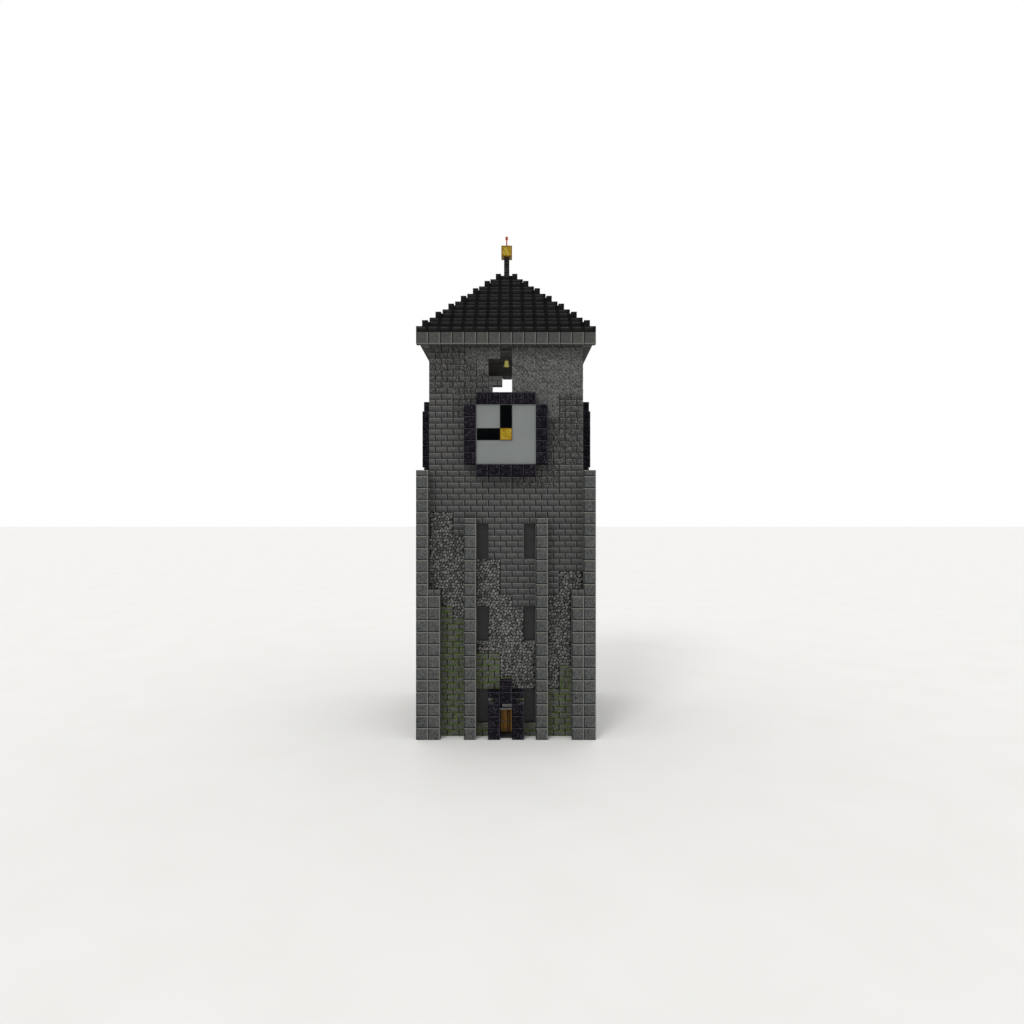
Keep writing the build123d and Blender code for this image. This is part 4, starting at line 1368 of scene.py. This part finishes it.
outer_line = [(bell_radius - 0.004, mouth), (bell_radius, mouth + 0.016),
              (bell_radius - 0.002, mouth + 0.050), (0.095, mouth + 0.066), (0.093, mouth + 0.150),
              (0.090, shell_top - 0.045), (0.068, shell_top - 0.006), (0.004, shell_top)]
inner_line = [(0.004, shell_top - 0.012), (0.058, shell_top - 0.018), (0.078, shell_top - 0.055),
              (0.081, mouth + 0.150), (0.083, mouth + 0.066), (bell_radius - 0.012, mouth)]
bell_shell = turned(np.concatenate([eased(outer_line, 44), eased(inner_line, 30)]), bell_axis, framed=0)
eye = world_blocks((-0.010, bell_axis[1] - 0.013, shell_top - 0.004),
                   (0.010, bell_axis[1] + 0.013, bell_high[2]), 0.004)
# the bell is painted very pale: this stands in for light in the belfry's shade
bell_tones_lifted = ((240, 222, 112), (248, 234, 134), (252, 244, 168), (120, 90, 40))
bell_bronze = gilding("bell_bronze", *bell_tones_lifted, metal=0.1, polish=0.35)
piece("turned_bell", joined(bell_shell, eye), bell_bronze, ["bell"], "bell_body", smooth=True)

# %% [markdown]
# ## Door
#
# The leaf is of eight upright planks, nailed to three ledges behind. The planks are struck blocks laid
# side by side. Dark and pale ones alternate by a number that each one keeps. Two iron bands cross the
# front at the height of the lower ledges, and the studs are turned heads that sit on them.

# %% Door
leaf_low, leaf_high = np.array(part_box("door_leaf"))
leaf_width, leaf_height = (leaf_high - leaf_low)[[0, 2]]
plank_edges = leaf_low[0] + leaf_width * np.array([0, 0.075, 0.33, 0.58, 0.66, 0.745, 0.83, 0.91, 1.0])
plank_tones = (0.1, 0.75, 0.9, 0.0, 0.65, 0.0, 0.6, 1.1)
plank_gap, plank_inset, plank_wander = 0.003, 0.004, 0.003
ledge, ledge_height, ledge_inset = 0.022, 0.085, 0.012
plank_low = rows_of(plank_edges[:-1] + plank_gap / 2, leaf_low[1] + plank_inset, leaf_low[2])
plank_high = rows_of(plank_edges[1:] - plank_gap / 2, leaf_high[1] - ledge, leaf_high[2])
plank_low[0, 0], plank_high[-1, 0] = leaf_low[0], leaf_high[0]
plank_low[:, 1] += np.random.default_rng(31).uniform(0, plank_wander, len(plank_tones))
ledge_base = leaf_low[2] + np.array([0.055, 0.425, 0.78]) * leaf_height
ledge_low = rows_of(leaf_low[0] + ledge_inset, leaf_high[1] - ledge - overlap, ledge_base)
ledge_high = rows_of(leaf_high[0] - ledge_inset, leaf_high[1], ledge_base + ledge_height)


def plank_finish(name, dark, middle, pale):
    """Sawn wood: figure as noise stretched up the board, finer pores, and a dark line at each joint."""
    finish = Finish(name, 0.3)
    board = finish.stretched(26.0, 26.0, 1.6)
    figure, pores = finish.noise(1.0, 3.0, board, Distortion=0.6), finish.noise(0.2, 2.0, board)
    tone = 0.55 * figure + 0.25 * pores + 0.35 * finish.kept("tone") - 0.08
    colour = finish.coats(
        finish.blend(finish.step(tone, 0.25, 0.5), dark, middle),
        (finish.step(tone, 0.5, 0.75), pale),
        (finish.step(finish.nearest("left", "right"), 0.009, 0.003) * 0.9, (40, 26, 12)),
    )
    return finish.paint(colour, 0.6 + 0.2 * pores, figure * 0.5 + pores * 0.4, 0.4, 0.004)


def stud_heads(places, radius, rise, steps=12):
    """Domes facing the front: r = radius cos(t), out = rise sin(t), for t from the rim to the crown."""
    turn = np.arange(steps) * 2 * np.pi / steps
    climb = np.linspace(0, np.pi / 2 * 0.92, 4)[:, None]
    r, out = radius * np.cos(climb), np.broadcast_to(-rise * np.sin(climb), (4, steps))
    places = np.array(places)
    rings = places[:, None, None, :] + np.stack([r * np.cos(turn), out, r * np.sin(turn)], -1)
    return domes(rings, places + (0, -rise, 0), places)


# the plank tones are painted pale: this stands in for light in the deep doorway's shade
oak = plank_finish("door_planks", (86, 56, 24), (138, 102, 46), (196, 146, 72))
iron = mottled("black_iron", patches=(0.06, 3.0), band=(0.5, 0.7), shades=((58, 58, 60), (78, 60, 48)),
               share=0.5, grain=(0.012, 3.0), rough=(0.5, 0.25), relief=(0.35, 0.002), gloss=0.4,
               metallic=0.5)
# iron for the handle and studs painted pale: this stands in for light in the doorway's shade
shade_lifted_iron = mottled("shade_lifted_iron", patches=(0.02, 3.0), band=(0.35, 0.65), grain=(0.02, 3.0),
                    shades=((150, 145, 134), (196, 190, 176)), rough=(0.4, 0.2), relief=(0.3, 0.002),
                    gloss=0.5, metallic=0.1)
boards = joined(world_blocks(plank_low, plank_high, chamfer=0.005, tone=plank_tones),
                world_blocks(ledge_low, ledge_high, chamfer=0.005, tone=(0.4, 0.2, 0.5)))
piece("door_boards", boards, oak, ["door_leaf"], "door")
finish_nodes(iron, "door_straps", "door_pintles", "bell_hanger", "clock_arbors")
finish_nodes(shade_lifted_iron, "door_handle")

band_half, band_inset, band_face, band_back = 0.016, 0.006, leaf_low[1] + 0.003, leaf_low[1] + 0.009
stud_radius, stud_rise, stud_inset, stud_depth = 0.015, 0.006, 0.022, leaf_low[1] + 0.006
stud_z = ledge_base + ledge_height / 2
bands = world_blocks(rows_of(leaf_low[0] + band_inset, band_face, stud_z[:2] - band_half),
                     rows_of(leaf_high[0] - band_inset, band_back, stud_z[:2] + band_half), chamfer=0.001)
piece("door_bands", bands, iron, body="door")
stud_x = np.linspace(leaf_low[0], leaf_high[0], 14)[1:-1:2]
stud_places = [(x, stud_depth, z) for z in stud_z[:2] for x in stud_x]
stud_places.append((leaf_high[0] - stud_inset, stud_depth, stud_z[2]))
studs = stud_heads(stud_places, stud_radius, stud_rise)
piece("door_studs", studs, shade_lifted_iron, body="door", smooth=True)

# %% [markdown]
# ## Glass and floors
#
# The window panes are dark and give nothing of the inside away, so they are a dark, smooth body under
# a thin gloss instead of clear glass. The floors are boards: on these plain slabs that are seen only
# through openings, the boards are drawn by the finish, with a joint every fifth of a metre.

# %% Glass and floors
glass = mottled("dark_glass", patches=(0.5, 1.0), band=(0.4, 0.6), shades=(36, 40), grain=(0.5, 1.0),
                rough=(0.22, 0.1), relief=(0.05, 0.002), gloss=0.25)
finish_nodes(glass, *[f"windows_{side}" for side in side_names])


def floor_finish(pitch=0.2):
    """Boards across x: each one's own tone, grain stretched along it, and a dark joint between two."""
    finish = Finish("floor_boards", 0.3)
    across = finish.part(finish.place)[0] * (1 / pitch)
    place = finish.maths("FRACT", across)
    own = finish.node("TexWhiteNoise", {"noise_dimensions": "1D"}, {"W": finish.maths("FLOOR", across)})
    grain = finish.noise(1.0, 3.0, finish.stretched(30.0, 1.5, 30.0))
    wood = finish.blend(finish.step(0.6 * grain + 0.4 * own, 0.25, 0.75), (150, 122, 88), (190, 160, 122))
    joint_line = finish.maths("MINIMUM", place, 1 - place) < 0.03
    colour = finish.blend(joint_line, wood, (24, 16, 10))
    return finish.paint(colour, 0.7 + 0.15 * grain, grain - joint_line * 2.0, 0.3, 0.003)


finish_nodes(floor_finish(), "first_floor", "second_floor", "belfry_floor")
plain = [n for n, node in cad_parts.items() if not (node.hide_render or n in finished)]
print("nodes still plain:", plain)
